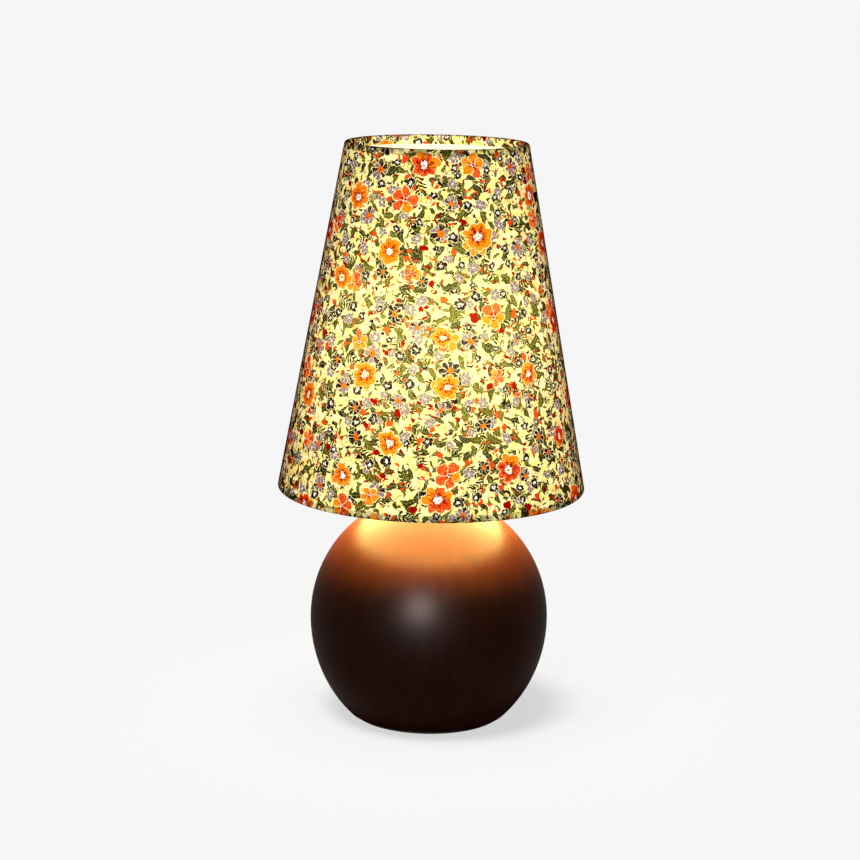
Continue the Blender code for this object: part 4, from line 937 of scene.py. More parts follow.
def rounded(corners, closed=True, steps=5):
    """An outline through (radius, height, fillet) corners, each fillet as an arc."""
    points = []
    for index, (across, up, fillet) in enumerate(corners):
        here = Vector((across, up))
        if not fillet or (not closed and index in (0, len(corners) - 1)):
            points.append(here)
            continue
        back = (Vector(corners[index - 1][:2]) - here).normalized()
        ahead = (Vector(corners[(index + 1) % len(corners)][:2]) - here).normalized()
        half = back.angle(ahead) / 2
        centre = here + (back + ahead).normalized() * fillet / math.sin(half)
        first = here + back * fillet / math.tan(half) - centre
        last = here + ahead * fillet / math.tan(half) - centre
        start = math.atan2(first.y, first.x)
        turn = math.remainder(math.atan2(last.y, last.x) - start, math.tau)
        points += arc(centre, fillet, start, start + turn, steps)
    return points


def spun(outline, segments, closed=False):
    """A form turned about Z from (radius, height) points, starting at the back.

    Each vertex keeps how far along the outline it lies.
    """
    form = bmesh.new()
    along = form.verts.layers.float.new(ALONG_LAYER)
    travelled = 0.0
    corners = []
    for index, point in enumerate(outline):
        if index:
            travelled += (point - outline[index - 1]).length
        corner = form.verts.new((0, point.x, point.y))
        corner[along] = travelled
        corners.append(corner)
    edges = [form.edges.new(pair) for pair in zip(corners, corners[1:])]
    if closed:
        edges.append(form.edges.new((corners[-1], corners[0])))
    bmesh.ops.spin(
        form,
        geom=corners + edges,
        cent=(0, 0, 0),
        axis=(0, 0, 1),
        dvec=(0, 0, 0),
        angle=math.tau,
        steps=segments,
        use_merge=True,
        use_duplicate=False,
    )
    bmesh.ops.remove_doubles(form, verts=form.verts, dist=MERGE_DISTANCE)
    bmesh.ops.recalc_face_normals(form, faces=form.faces)
    return form


class Thread:
    """A round thread on upright faces, which fades into its root at both ends."""

    rows_to_a_turn = 10

    def __init__(self, radii, low, high, pitch, depth, outside):
        self.radii, self.low, self.high = radii, low, high
        self.pitch, self.depth, self.outside = pitch, depth, outside

    def lies_at(self, radius):
        return min(abs(radius - face) for face in self.radii) < 10 * MERGE_DISTANCE

    def rows(self, outline, closed):
        """The outline with its faces under the thread cut into fine rows."""
        points = []
        for index, here in enumerate(outline):
            points.append(here)
            ahead = outline[(index + 1) % len(outline)]
            upright = self.lies_at(here.x) and abs(ahead.x - here.x) < MERGE_DISTANCE
            if upright and (closed or index + 1 < len(outline)):
                count = math.ceil(abs(ahead.y - here.y) * self.rows_to_a_turn / self.pitch)
                points += [here.lerp(ahead, row / count) for row in range(1, count)]
        return points

    def cut(self, form):
        """Moves the faces in and out along a right-handed helix."""
        for corner in form.verts:
            reach, up = corner.co.xy.length, corner.co.z
            if not self.lies_at(reach) or not self.low <= up <= self.high:
                continue
            lead = up / self.pitch - math.atan2(corner.co.y, corner.co.x) / math.tau
            groove = 0.5 - 0.5 * math.cos(math.tau * lead)
            fade = min(1.0, 2 * (up - self.low) / self.pitch, 2 * (self.high - up) / self.pitch)
            groove = 1 - (1 - groove) * fade if self.outside else groove * fade
            corner.co.xy = corner.co.xy * (1 - self.depth * groove / reach)


def stand(form, place, axis="Z"):
    """Turns a form made along Z to lie along X, or to point forward along Y, and puts it in place."""
    if axis != "Z":
        turn_form(form, math.pi / 2, "Y" if axis == "X" else "X")
    bmesh.ops.translate(form, verts=form.verts, vec=place)
    return form


def turned_form(corners, segments, closed=True, thread=None):
    outline = rounded(corners, closed)
    if thread:
        outline = thread.rows(outline, closed)
    form = spun(outline, segments, closed)
    if thread:
        thread.cut(form)
    return form


def lathe(
    name, node, corners, segments=HOLDER_SEGMENTS, closed=True, thread=None, place=(0, 0, 0), axis="Z"
):
    """Turns a piece from (radius, height, fillet) corners, in place of a CAD node."""
    return add_piece(name, stand(turned_form(corners, segments, closed, thread), place, axis), node)


def bored(name, node, bore, fillets, segments=HOLDER_SEGMENTS, thread=None):
    """A ring as high and wide as its CAD node, from its upper outer edge round to the upper inner."""
    low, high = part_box(node)
    places = ((high.x, high.z), (high.x, low.z), (bore, low.z), (bore, high.z))
    corners = [(*place, fillet) for place, fillet in zip(places, fillets)]
    return lathe(name, node, corners, segments, thread=thread)


def rod(radius, length, place, axis="Z"):
    form = bmesh.new()
    bmesh.ops.create_cone(
        form, cap_ends=True, segments=SMALL_SEGMENTS, radius1=radius, radius2=radius, depth=length
    )
    return stand(form, place, axis)


def bar_form(size, place, axis="Z"):
    form = bmesh.new()
    bmesh.ops.create_cube(form, size=1)
    bmesh.ops.scale(form, verts=form.verts, vec=size)
    return stand(form, place, axis)


def combine(piece, operation, *forms):
    """Joins forms to a piece, or cuts them out of it, and takes them away again."""
    helpers = []
    for number, form in enumerate(forms, 1):
        helper = new_object(f"{piece.name}_helper_{number}", form)
        joined = piece.modifiers.new(helper.name, "BOOLEAN")
        joined.operation = operation
        joined.object = helper
        helpers.append(helper)
    settled(piece)
    for helper in helpers:
        bpy.data.objects.remove(helper, do_unlink=True)
    return piece


def turn_form(form, turn, axis="Z"):
    matrix = Matrix.Rotation(turn, 3, axis)
    bmesh.ops.rotate(form, verts=form.verts, cent=(0, 0, 0), matrix=matrix)


def nut(name, node, bore):
    """A hexagon nut with chamfered corners."""
    low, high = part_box(node)
    corner = high.x
    chamfer = corner - high.y
    slope = chamfer * math.tan(math.pi / 6)
    corners = [
        (corner, high.z - slope, 0), (corner - chamfer, high.z, 0), (bore, high.z, 0),
        (bore, low.z, 0), (corner - chamfer, low.z, 0), (corner, low.z + slope, 0),
    ]
    piece = lathe(name, node, corners, SMALL_SEGMENTS)
    prism = ((0, high.z), (corner, high.z), (corner, low.z), (0, low.z))
    hexagon = spun([Vector(place) for place in prism], 6)
    turn_form(hexagon, math.pi / 6)
    return combine(piece, "INTERSECT", hexagon)


def thickened(piece, wall):
    skin = piece.modifiers.new("wall", "SOLIDIFY")
    skin.thickness = wall
    skin.offset = 0
    skin.use_even_offset = True
    return settled(piece)


# Shade

WIRE_SIDES = 16
WIRE_END_SHARE = 0.45
SEAM_SETTLE_SHARE = 0.8
SEAM_SETTLE_POWER = 6
SEAM_PRINT_SHIFT = 0.03
RING_BITE = 5.5 * MM
BEAD_HALF_SIZES = (2.9 * MM, 2.2 * MM, 1.0 * MM)
BEAD_OFF_END = 2.0 * MM


def wire_places(shade):
    """Where the middles of the two rim wires lie, as (radius, height)."""
    places = []
    for node in ("top_rim_wire", "bottom_rim_wire"):
        _, high, middle, _ = measured(node)
        places.append(Vector((high.x - shade.wire_radius, middle.z)))
    return places


def cone_line(shade, offset, inset):
    """The ends of a line along the cone, off the wires' middles and in from them by inset."""
    top, bottom = wire_places(shade)
    slant = (bottom - top).normalized()
    outward = Vector((-slant.y, slant.x))
    return top + outward * offset + slant * inset, bottom + outward * offset - slant * inset


def cloth_line(shade):
    """The cover's middle line: tucked end, round the top wire, down the cone, and back in below.

    Also gives how far along it the cone's straight part starts and ends.
    """
    top, bottom = wire_places(shade)
    slant = (bottom - top).normalized()
    outward = Vector((-slant.y, slant.x))
    roll = shade.wire_radius + shade.gap + shade.cloth / 2
    tuck = roll - 2 * (shade.gap + (shade.cloth + shade.liner) / 2)
    wrap_steps = 20

    def hem(origin, side):
        points = []
        for step in range(wrap_steps + 1):
            turn = shade.hem_wrap * step / wrap_steps
            out = outward * roll * math.cos(turn)
            points.append(origin + out + slant * side * roll * math.sin(turn))
        leaving = Vector((-math.sin(shade.hem_wrap), math.cos(shade.hem_wrap)))
        run = (tuck - roll * math.cos(shade.hem_wrap)) / leaving.x
        past = roll * math.sin(shade.hem_wrap) + leaving.y * run
        points.append(origin + outward * tuck + slant * side * past)
        points.append(origin + outward * tuck + slant * side * (past - shade.hem_tuck))
        return points

    above = list(reversed(hem(top, -1)))
    below = hem(bottom, 1)
    rows = 24
    straight = [above[-1].lerp(below[0], row / rows) for row in range(1, rows)]
    line = above + straight + below
    starts = sum((b - a).length for a, b in zip(above, above[1:]))
    return line, starts, starts + (below[0] - above[-1]).length


def cone_facts(shade):
    """The cone's share of a full circle when it is laid flat, and its top wire's way from the tip."""
    top, bottom = wire_places(shade)
    slant = (bottom - top).normalized()
    return slant.x, top.x / slant.x


def cloth_rims(shade):
    """How far from the cone's tip the cloth turns over each wire."""
    _, starts, ends = cloth_line(shade)
    _, from_tip = cone_facts(shade)
    turn_over = (shade.wire_radius + shade.gap) * math.pi / 2
    return from_tip - turn_over, from_tip + (ends - starts) + turn_over


def lay_flat(form, shade, starts):
    """Gives the cover its cloth map, in metres: the cone laid flat, opened at the back."""
    flat_share, from_tip = cone_facts(shade)
    along = form.verts.layers.float[ALONG_LAYER]
    layer = form.loops.layers.uv.new(CLOTH_MAP)
    for face in form.faces:
        side = math.copysign(1, face.calc_center_median().x)
        for loop in face.loops:
            place = loop.vert.co
            turn = math.atan2(abs(place.x), -place.y) * side * flat_share
            reach = from_tip + loop.vert[along] - starts
            loop[layer].uv = (reach * math.sin(turn), -reach * math.cos(turn))


class LampCover(Operator):
    """Model the printed cloth of the shade, rolled over both rim wires, and its seam"""

    bl_idname = "lamp.cover"
    bl_label = "Cloth Cover"

    def execute(self, context):
        shade = context.scene.lamp_shade
        line, starts, _ = cloth_line(shade)
        form = spun(line, SHADE_SEGMENTS)
        lay_flat(form, shade, starts)
        cover = add_piece("printed_cover", form, "shade_cover")
        thickened(cover, shade.cloth)
        # The lit shade casts no shadow worth drawing
        cover.visible_shadow = False
        seam = self.model_seam(shade)
        seam.visible_shadow = False
        return {"FINISHED"}

    def model_seam(self, shade):
        """The lapped end of the cloth: a folded strip down the back, bent to the cone."""
        lift = shade.wire_radius + shade.gap + shade.cloth + shade.gap + shade.cloth / 2
        high, low = cone_line(shade, lift, shade.seam_inset)
        rows, columns = 48, 10
        form = bmesh.new()
        bmesh.ops.create_grid(form, x_segments=columns, y_segments=rows, size=0.5)
        layer = form.loops.layers.uv.new(CLOTH_MAP)
        flat_share, from_tip = cone_facts(shade)
        reach_high = from_tip + shade.seam_inset
        flat_places = {}
        for corner in form.verts:
            share_across, share_down = corner.co.x, 0.5 - corner.co.y
            place = high.lerp(low, share_down)
            across = share_across * shade.seam_width
            turn = across / place.x
            settle = shade.gap * SEAM_SETTLE_SHARE * min(1, abs(share_across) * 2) ** SEAM_SETTLE_POWER
            radius = place.x - settle
            reach = reach_high + (low - high).length * share_down
            flat_turn = (math.pi - SEAM_PRINT_SHIFT) * flat_share + across / reach
            flat_places[corner] = (reach * math.sin(flat_turn), -reach * math.cos(flat_turn))
            corner.co = (radius * math.sin(turn), radius * math.cos(turn), place.y)
        for face in form.faces:
            for loop in face.loops:
                loop[layer].uv = flat_places[loop.vert]
        bmesh.ops.recalc_face_normals(form, faces=form.faces)
        seam = add_piece("cover_seam", form, "seam_lap")
        return thickened(seam, shade.cloth)


class LampLiner(Operator):
    """Model the white liner film behind the cloth"""

    bl_idname = "lamp.liner"
    bl_label = "Shade Liner"

    def execute(self, context):
        shade = context.scene.lamp_shade
        offset = shade.wire_radius - shade.liner / 2
        high, low = cone_line(shade, offset, shade.wire_radius + shade.gap)
        rows = 12
        line = [high.lerp(low, row / rows) for row in range(rows + 1)]
        liner = add_piece("liner_film", spun(line, SHADE_SEGMENTS), "shade_liner")
        thickened(liner, shade.liner)
        liner.visible_shadow = False
        return {"FINISHED"}


class LampFitter(Operator):
    """Model the rim wires, the fitter's ring and its three cranked arms with their weld beads"""

    bl_idname = "lamp.fitter"
    bl_label = "Wire Fitter"

    def execute(self, context):
        shade = context.scene.lamp_shade
        for node, place in zip(("top_rim_wire", "bottom_rim_wire"), wire_places(shade)):
            circle = arc(place, shade.wire_radius, 0, math.tau * (1 - 1 / WIRE_SIDES), WIRE_SIDES - 1)
            add_piece(f"{node}_round", spun(circle, SHADE_SEGMENTS, closed=True), node)
        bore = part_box("slip_washer")[1].x - RING_BITE
        bored("fitter_plate_ring", "fitter_ring", bore, [THIN_EDGE] * 4)
        low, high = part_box("fitter_arm_1")
        level, rim = high.z - shade.arm_radius, low.z + shade.arm_radius
        inner, foot = low.y, high.y
        line = rounded(
            [
                (inner, level, 0),
                (shade.arm_level, level, shade.arm_upper_bend),
                (foot - shade.arm_foot, rim, shade.arm_lower_bend),
                (foot, rim, 0),
            ],
            closed=False,
            steps=10,
        )
        ring_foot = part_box("fitter_ring")[0].z
        for number, turn in enumerate(THREE_TURNS, 1):
            self.model_arm(shade, number, line, math.pi / 2 + turn, ring_foot)
        return {"FINISHED"}

    def model_arm(self, shade, number, line, turn, ring_foot):
        across = Vector((math.cos(turn), math.sin(turn), 0))
        points = [across * place.x + Vector((0, 0, place.y)) for place in line]
        form = wire_form(points, shade.arm_radius)
        arm = add_piece(f"cranked_arm_{number}", form, f"fitter_arm_{number}")
        bead = bmesh.new()
        bmesh.ops.create_uvsphere(bead, u_segments=24, v_segments=14, radius=1.0)
        bmesh.ops.scale(bead, verts=bead.verts, vec=BEAD_HALF_SIZES)
        turn_form(bead, turn)
        middle = across * (line[0].x + BEAD_OFF_END)
        middle.z = ring_foot - BEAD_HALF_SIZES[2]
        bmesh.ops.translate(bead, verts=bead.verts, vec=middle)
        combine(arm, "UNION", bead)


def wire_form(points, radius):
    """A round wire along points, its ends rounded off."""
    path = bpy.data.curves.new("wire", "CURVE")
    path.dimensions = "3D"
    path.bevel_depth = radius
    path.bevel_resolution = 4
    path.use_fill_caps = True
    spline = path.splines.new("POLY")
    spline.points.add(len(points) - 1)
    for point, place in zip(spline.points, points):
        point.co = (*place, 1)
    bent = bpy.data.objects.new("wire", path)
    bpy.context.scene.collection.objects.link(bent)
    graph = bpy.context.evaluated_depsgraph_get()
    mesh = bpy.data.meshes.new_from_object(bent.evaluated_get(graph))
    form = bmesh.new()
    form.from_mesh(mesh)
    bpy.data.meshes.remove(mesh)
    bpy.data.objects.remove(bent, do_unlink=True)
    bmesh.ops.remove_doubles(form, verts=form.verts, dist=MERGE_DISTANCE)
    ends = [edge for face in form.faces if len(face.verts) > 4 for edge in face.edges]
    bmesh.ops.bevel(
        form, geom=ends, offset=radius * WIRE_END_SHARE, segments=3, profile=0.5,
        affect="EDGES", material=-1,
    )
    bmesh.ops.recalc_face_normals(form, faces=form.faces)
    return form


# Bulb and lampholder

BULB_ROWS = 28
NECK_ROWS = 20
NECK_PULL_SHARES = (0.42, 0.55)
CAP_THREAD_GAP = 0.5 * MM
INSULATOR_RIM = 1.0 * MM
STEM_END = 1.0 * MM
FLARE_TOP = 16 * MM
FLARE_BEND = 9 * MM
FLARE_FOOT = 3 * MM
FLARE_EDGE = 2 * MM
ROD_END_SHARE = 0.9
CAP_EDGE_SHARE = 0.7
SKIRT_THREAD_START = 0.6 * MM
SKIRT_THREAD_END = 2 * MM
SHELL_THREAD_START = 1.5 * MM
SHELL_THREAD_END = 0.8 * MM
STRIP_SLOPE = 3.5 * MM
STRIP_BEND = 1.2 * MM
SCREW_HEAD = 1.6 * MM
CROSS_BORE = 60 * MM
DOME_SHARE = 0.62
DOME_DROP = 0.25 * MM
DOME_BEND = 1.5 * MM
DOME_RIM = 1.1 * MM
DOME_EDGE = 0.9 * MM
WASHER_EDGE = 0.12 * MM

# The screws' slot cutters along Y and Z. A cutter is twice as deep as its slot.
TERMINAL_SLOT = (0.8 * MM, 1.6 * MM)
GRUB_SLOT = (2.0 * MM, 0.5 * MM)


def bulb_centre():
    """The middle of the round top of the bulb."""
    _, high, _, half = measured("bulb_glass")
    return Vector((0, 0, high.z - half.y))


def cubic(start, pull_start, pull_end, end, steps):
    points = []
    for step in range(steps + 1):
        share_along = step / steps
        left = 1 - share_along
        weights = (left**3, 3 * left**2 * share_along, 3 * left * share_along**2, share_along**3)
        places = (start, pull_start, pull_end, end)
        points.append(sum((place * w for place, w in zip(places, weights)), Vector((0, 0))))
    return points


class LampBulb(Operator):
    """Model the opal bulb and finish its cap, contact and inside"""

    bl_idname = "lamp.bulb"
    bl_label = "Bulb"

    def execute(self, context):
        sizes = context.scene.lamp_bulb
        low, high, _, half = measured("bulb_glass")
        radius = half.y - sizes.wall / 2
        centre = Vector((0, high.z - half.y))
        _, neck_high, _, neck_half = measured("bulb_cap")
        neck = neck_half.y - sizes.neck_inset
        round_part = arc(centre, radius, math.pi / 2, sizes.sphere_end, BULB_ROWS)
        round_part[0] = Vector((0, round_part[0].y))
        start = round_part.pop()
        end = Vector((neck, neck_high.z))
        drop = start.y - end.y
        down = Vector((math.sin(sizes.sphere_end), -math.cos(sizes.sphere_end)))
        pull_start, pull_end = (drop * pull for pull in NECK_PULL_SHARES)
        lower = cubic(start, start + down * pull_start, end + Vector((0, pull_end)), end, NECK_ROWS)
        outline = round_part + lower + [Vector((neck, low.z))]
        glass = add_piece("opal_bulb", spun(outline, BULB_SEGMENTS), "bulb_glass")
        thickened(glass, sizes.wall)
        glass.visible_shadow = False
        self.model_cap(sizes, low.z)
        self.model_inside(sizes, low.z)
        return {"FINISHED"}

    def model_cap(self, sizes, glass_foot):
        """The rolled screw cap, its black glass insulator and the domed tip contact."""
        low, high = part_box("bulb_cap")
        radius, mouth, wall = high.x, sizes.cap_mouth, sizes.cap_wall
        shoulder = low.z + sizes.cap_shoulder
        thread_end = glass_foot - CAP_THREAD_GAP
        thread = Thread((radius, radius - wall), shoulder, thread_end, sizes.pitch, sizes.thread, True)
        corners = [
            (radius, high.z, 0), (radius, shoulder, 0), (mouth, low.z, 0), (mouth - wall, low.z, 0),
            (mouth - wall, low.z + wall, 0), (radius - wall, shoulder + wall, 0),
            (radius - wall, high.z, 0),
        ]
        lathe("screw_cap", "bulb_cap", corners, BULB_SEGMENTS, thread=thread)
        low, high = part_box("bulb_insulator")
        tip_low, tip_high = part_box("bulb_contact")
        foot = tip_high.x + INSULATOR_RIM
        corners = [(0, high.z, 0), (high.x, high.z, FINE), (foot, low.z, 0.6 * MM), (0, low.z, 0)]
        lathe("black_insulator", "bulb_insulator", corners, closed=False)
        dome = arc(Vector((0, 0)), 1.0, 0, -math.pi / 2, 10)
        height = tip_high.z - tip_low.z
        dome = [(place.x * tip_high.x, tip_high.z + place.y * height, 0) for place in dome]
        dome[-1] = (0, tip_low.z, 0)
        lathe("tip_contact", "bulb_contact", [(0, tip_high.z, 0)] + dome, SMALL_SEGMENTS, closed=False)

    def model_inside(self, sizes, glass_foot):
        """The glass stem that is fused into the neck, and the four light-emitting rods."""
        low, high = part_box("bulb_stem")
        corners = [
            (0, high.z, 0), (sizes.stem, high.z, STEM_END), (sizes.stem, low.z + FLARE_TOP, FLARE_BEND),
            (high.x, low.z + FLARE_FOOT, FLARE_EDGE), (high.x, low.z, 0), (0, low.z, 0),
        ]
        lathe("glass_stem", "bulb_stem", corners, SMALL_SEGMENTS, closed=False)
        for number in (1, 2, 3, 4):
            node = f"filament_{number}"
            low, high, middle, half = measured(node)
            radius, fillet = half.x, half.x * ROD_END_SHARE
            corners = [(0, high.z, 0), (radius, high.z, fillet), (radius, low.z, fillet), (0, low.z, 0)]
            place = (middle.x, middle.y, 0)
            lathe(f"light_rod_{number}", node, corners, SMALL_SEGMENTS, closed=False, place=place)


class LampHolder(Operator):
    """Model the lampholder: cap, threaded skirt, contact block, screw shell, contacts and screws"""

    bl_idname = "lamp.holder"
    bl_label = "Lampholder"

    def execute(self, context):
        sizes = context.scene.lamp_holder
        bore = context.scene.lamp_base.bore
        self.model_cap(sizes, bore)
        self.model_skirt(sizes)
        self.model_block(sizes)
        self.model_shell(sizes, context.scene.lamp_bulb)
        self.model_strip(sizes)
        self.model_screws(sizes)
        return {"FINISHED"}

    def model_cap(self, sizes, bore):
        low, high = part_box("holder_cap")
        neck_top = low.z + sizes.neck_height
        inner = high.x - sizes.cap_wall
        edge = sizes.edge * CAP_EDGE_SHARE
        corners = [
            (high.x, high.z, edge), (high.x, neck_top, sizes.cap_corner),
            (sizes.neck, neck_top, sizes.cap_wall), (sizes.neck, low.z, edge), (bore, low.z, edge / 2),
            (bore, neck_top + sizes.cap_wall, 0),
            (inner, neck_top + sizes.cap_wall, sizes.cap_corner - sizes.cap_wall), (inner, high.z, 0),
        ]
        cap = lathe("holder_cap_moulded", "holder_cap", corners)
        combine(cap, "DIFFERENCE", switch_bore(sizes), grub_bore())

    def model_skirt(self, sizes):
        low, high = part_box("holder_skirt")
        outer, inner = sizes.skirt, sizes.skirt - sizes.skirt_wall
        flange = low.z + sizes.spigot
        corners = [
            (outer, high.z, sizes.edge), (outer, flange + sizes.flange, FINE),
            (high.x, flange + sizes.flange, sizes.edge), (high.x, flange, sizes.edge),
            (inner + sizes.spigot_wall, flange, 0), (inner + sizes.spigot_wall, low.z, 0.4 * MM),
            (inner, low.z, 0.4 * MM), (inner, high.z, sizes.edge),
        ]
        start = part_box("shade_ring")[0].z + SKIRT_THREAD_START
        thread = Thread((outer,), start, high.z - SKIRT_THREAD_END, sizes.pitch, sizes.thread, True)
        lathe("threaded_skirt", "holder_skirt", corners, thread=thread)

    def model_block(self, sizes):
        low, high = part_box("contact_block")
        chamber = low.z + sizes.chamber
        inner = high.x - sizes.block_wall
        corners = [
            (0, high.z, 0), (high.x, high.z, SOFT), (high.x, low.z, SOFT),
            (inner, low.z, SOFT), (inner, chamber, 0.8 * MM), (0, chamber, 0),
        ]
        block = lathe("fired_block", "contact_block", corners, closed=False)
        holes = []
        for number in (1, 2):
            _, top, middle, _ = measured(f"terminal_screw_{number}")
            depth = top.z + FIT - low.z
            holes.append(rod(sizes.terminal + FIT, depth, (0, middle.y, low.z + depth / 2)))
        combine(block, "DIFFERENCE", switch_bore(sizes), *holes)

    def model_shell(self, sizes, bulb):
        low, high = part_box("thread_shell")
        outer, wall = high.x, sizes.shell_wall
        lip = outer - sizes.shell_lip
        corners = [
            (outer, high.z, 0), (outer, low.z, 0), (lip, low.z, 0), (lip, low.z + wall, 0),
            (outer - wall, low.z + wall, 0), (outer - wall, high.z, 0),
        ]
        start, end = low.z + SHELL_THREAD_START, high.z - SHELL_THREAD_END
        thread = Thread((outer, outer - wall), start, end, bulb.pitch, bulb.thread, False)
        lathe("screw_shell", "thread_shell", corners, thread=thread)

    def model_strip(self, sizes):
        """The bent spring strip under the bulb's tip."""
        low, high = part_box("centre_contact")
        half = sizes.contact / 2
        pad = high.x
        corners = [
            (low.x, low.z + half, 0), (-pad - STRIP_SLOPE, low.z + half, STRIP_BEND),
            (-pad, high.z - half, STRIP_BEND), (pad, high.z - half, 0),
        ]
        form = bmesh.new()
        line = [form.verts.new((place.x, low.y, place.y)) for place in rounded(corners, closed=False)]
        edges = [form.edges.new(pair) for pair in zip(line, line[1:])]
        drawn = bmesh.ops.extrude_edge_only(form, edges=edges)["geom"]
        drawn = [part for part in drawn if isinstance(part, bmesh.types.BMVert)]
        bmesh.ops.translate(form, verts=drawn, vec=(0, high.y - low.y, 0))
        bmesh.ops.recalc_face_normals(form, faces=form.faces)
        strip = add_piece("spring_strip", form, "centre_contact")
        thickened(strip, sizes.contact)

    def model_screws(self, sizes):
        for number in (1, 2):
            node = f"terminal_screw_{number}"
            low, high, middle, half = measured(node)
            head = half.x
            under_head = low.z + SCREW_HEAD
            corners = [
                (0, high.z, 0), (sizes.terminal, high.z, FINE), (sizes.terminal, under_head, 0),
                (head, under_head, SLIGHT), (head, low.z, 0.7 * MM), (0, low.z, 0),
            ]
            screw = lathe(
                f"slotted_{node}", node, corners, SMALL_SEGMENTS, closed=False, place=(0, middle.y, 0)
            )
            slot = bar_form((2.2 * head, *TERMINAL_SLOT), (0, middle.y, low.z))
            combine(screw, "DIFFERENCE", slot)
        _, high, middle, half = measured("grub_screw")
        radius, run, height = half.x, 2 * half.y, middle.z
        corners = [(0, run, 0), (radius, run, FINE), (radius, 0, 0.15 * MM), (0, 0, 0)]
        grub = lathe(
            "slotted_grub_screw", "grub_screw", corners, SMALL_SEGMENTS, closed=False,
            place=(0, high.y, height), axis="Y",
        )
        combine(grub, "DIFFERENCE", bar_form((4 * radius, *GRUB_SLOT), (0, high.y, height)))


def switch_bore(sizes):
    """The cross bore for the switch bar, with its running gap."""
    return rod(sizes.bar + sizes.run, CROSS_BORE, (0, 0, measured("switch_bar")[2].z), "X")


def grub_bore():
    _, high, middle, half = measured("grub_screw")
    reach = high.y + OVERRUN
    return rod(half.x + FIT, reach, (0, reach / 2, middle.z), "Y")


class LampSwitchBar(Operator):
    """Model the push-through switch bar with its domed buttons"""

    bl_idname = "lamp.switch_bar"
    bl_label = "Switch Bar"

    def execute(self, context):
        sizes = context.scene.lamp_holder
        low, high, middle, half = measured("switch_bar")
        button = half.z

        def end(tip, inward):
            """One button, from its domed tip to the bar."""
            dome, rim, root = (tip + inward * drop for drop in (DOME_DROP, DOME_RIM, sizes.button))
            return [
                (0, tip, 0), (button * DOME_SHARE, dome, DOME_BEND), (button, rim, DOME_EDGE),
                (button, root, 0.4 * MM), (sizes.bar, root, SLIGHT),
            ]

        corners = end(high.x, -1) + end(low.x, 1)[::-1]
        place = (0, 0, middle.z)
        lathe("push_bar", "switch_bar", corners, SMALL_SEGMENTS, closed=False, place=place, axis="X")
        return {"FINISHED"}


class LampClampingRing(Operator):
    """Model the notched clamping ring and the slip washer under it"""

    bl_idname = "lamp.clamping_ring"
    bl_label = "Clamping Ring"

    def execute(self, context):
        sizes = context.scene.lamp_holder
        bore = sizes.skirt + sizes.run
        low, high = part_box("shade_ring")
        flange = low.z + sizes.ring_flange
        corners = [
            (bore + sizes.ring_wall, high.z, sizes.edge), (bore + sizes.ring_wall, flange, sizes.edge),
            (high.x, flange, sizes.edge), (high.x, low.z, FINE), (bore, low.z, 0),
            (bore, high.z, 0),
        ]
        thread = Thread((bore,), low.z, high.z, sizes.pitch, sizes.thread, False)
        form = turned_form(corners, RING_SEGMENTS, thread=thread)
        self.press_notches(form, high.x, sizes.notch)
        add_piece("notched_ring", form, "shade_ring")
        bored("loose_washer", "slip_washer", bore, [WASHER_EDGE] * 4)
        return {"FINISHED"}

    def press_notches(self, form, edge, radius):
        """Pushes the flange's edge in to round notches, as deep as the CAD ring's."""
        middle = edge + radius * NOTCH_OFFSET
        spacing = math.tau / NOTCH_COUNT
        for corner in form.verts:
            reach = corner.co.xy.length
            turn = math.atan2(corner.co.y, corner.co.x)
            off = middle * math.sin(turn - (math.floor(turn / spacing) + 0.5) * spacing)
            if abs(off) >= radius:
                continue
            limit = math.sqrt(middle**2 - off**2) - math.sqrt(radius**2 - off**2)
            if reach > limit:
                corner.co.xy = corner.co.xy * limit / reach


# Base

HALVINGS = 40
INLET_RUN = 15 * MM
SCREW_POINT = 3 * MM
SCREW_THREAD = 0.35 * MM
SCREW_THREAD_START = 3.5 * MM
CROSS_RECESS = (3.2 * MM, 0.8 * MM, 2.0 * MM)
WASHER_ROUND = 0.25 * MM
PLATE_ROUND = 0.9 * MM


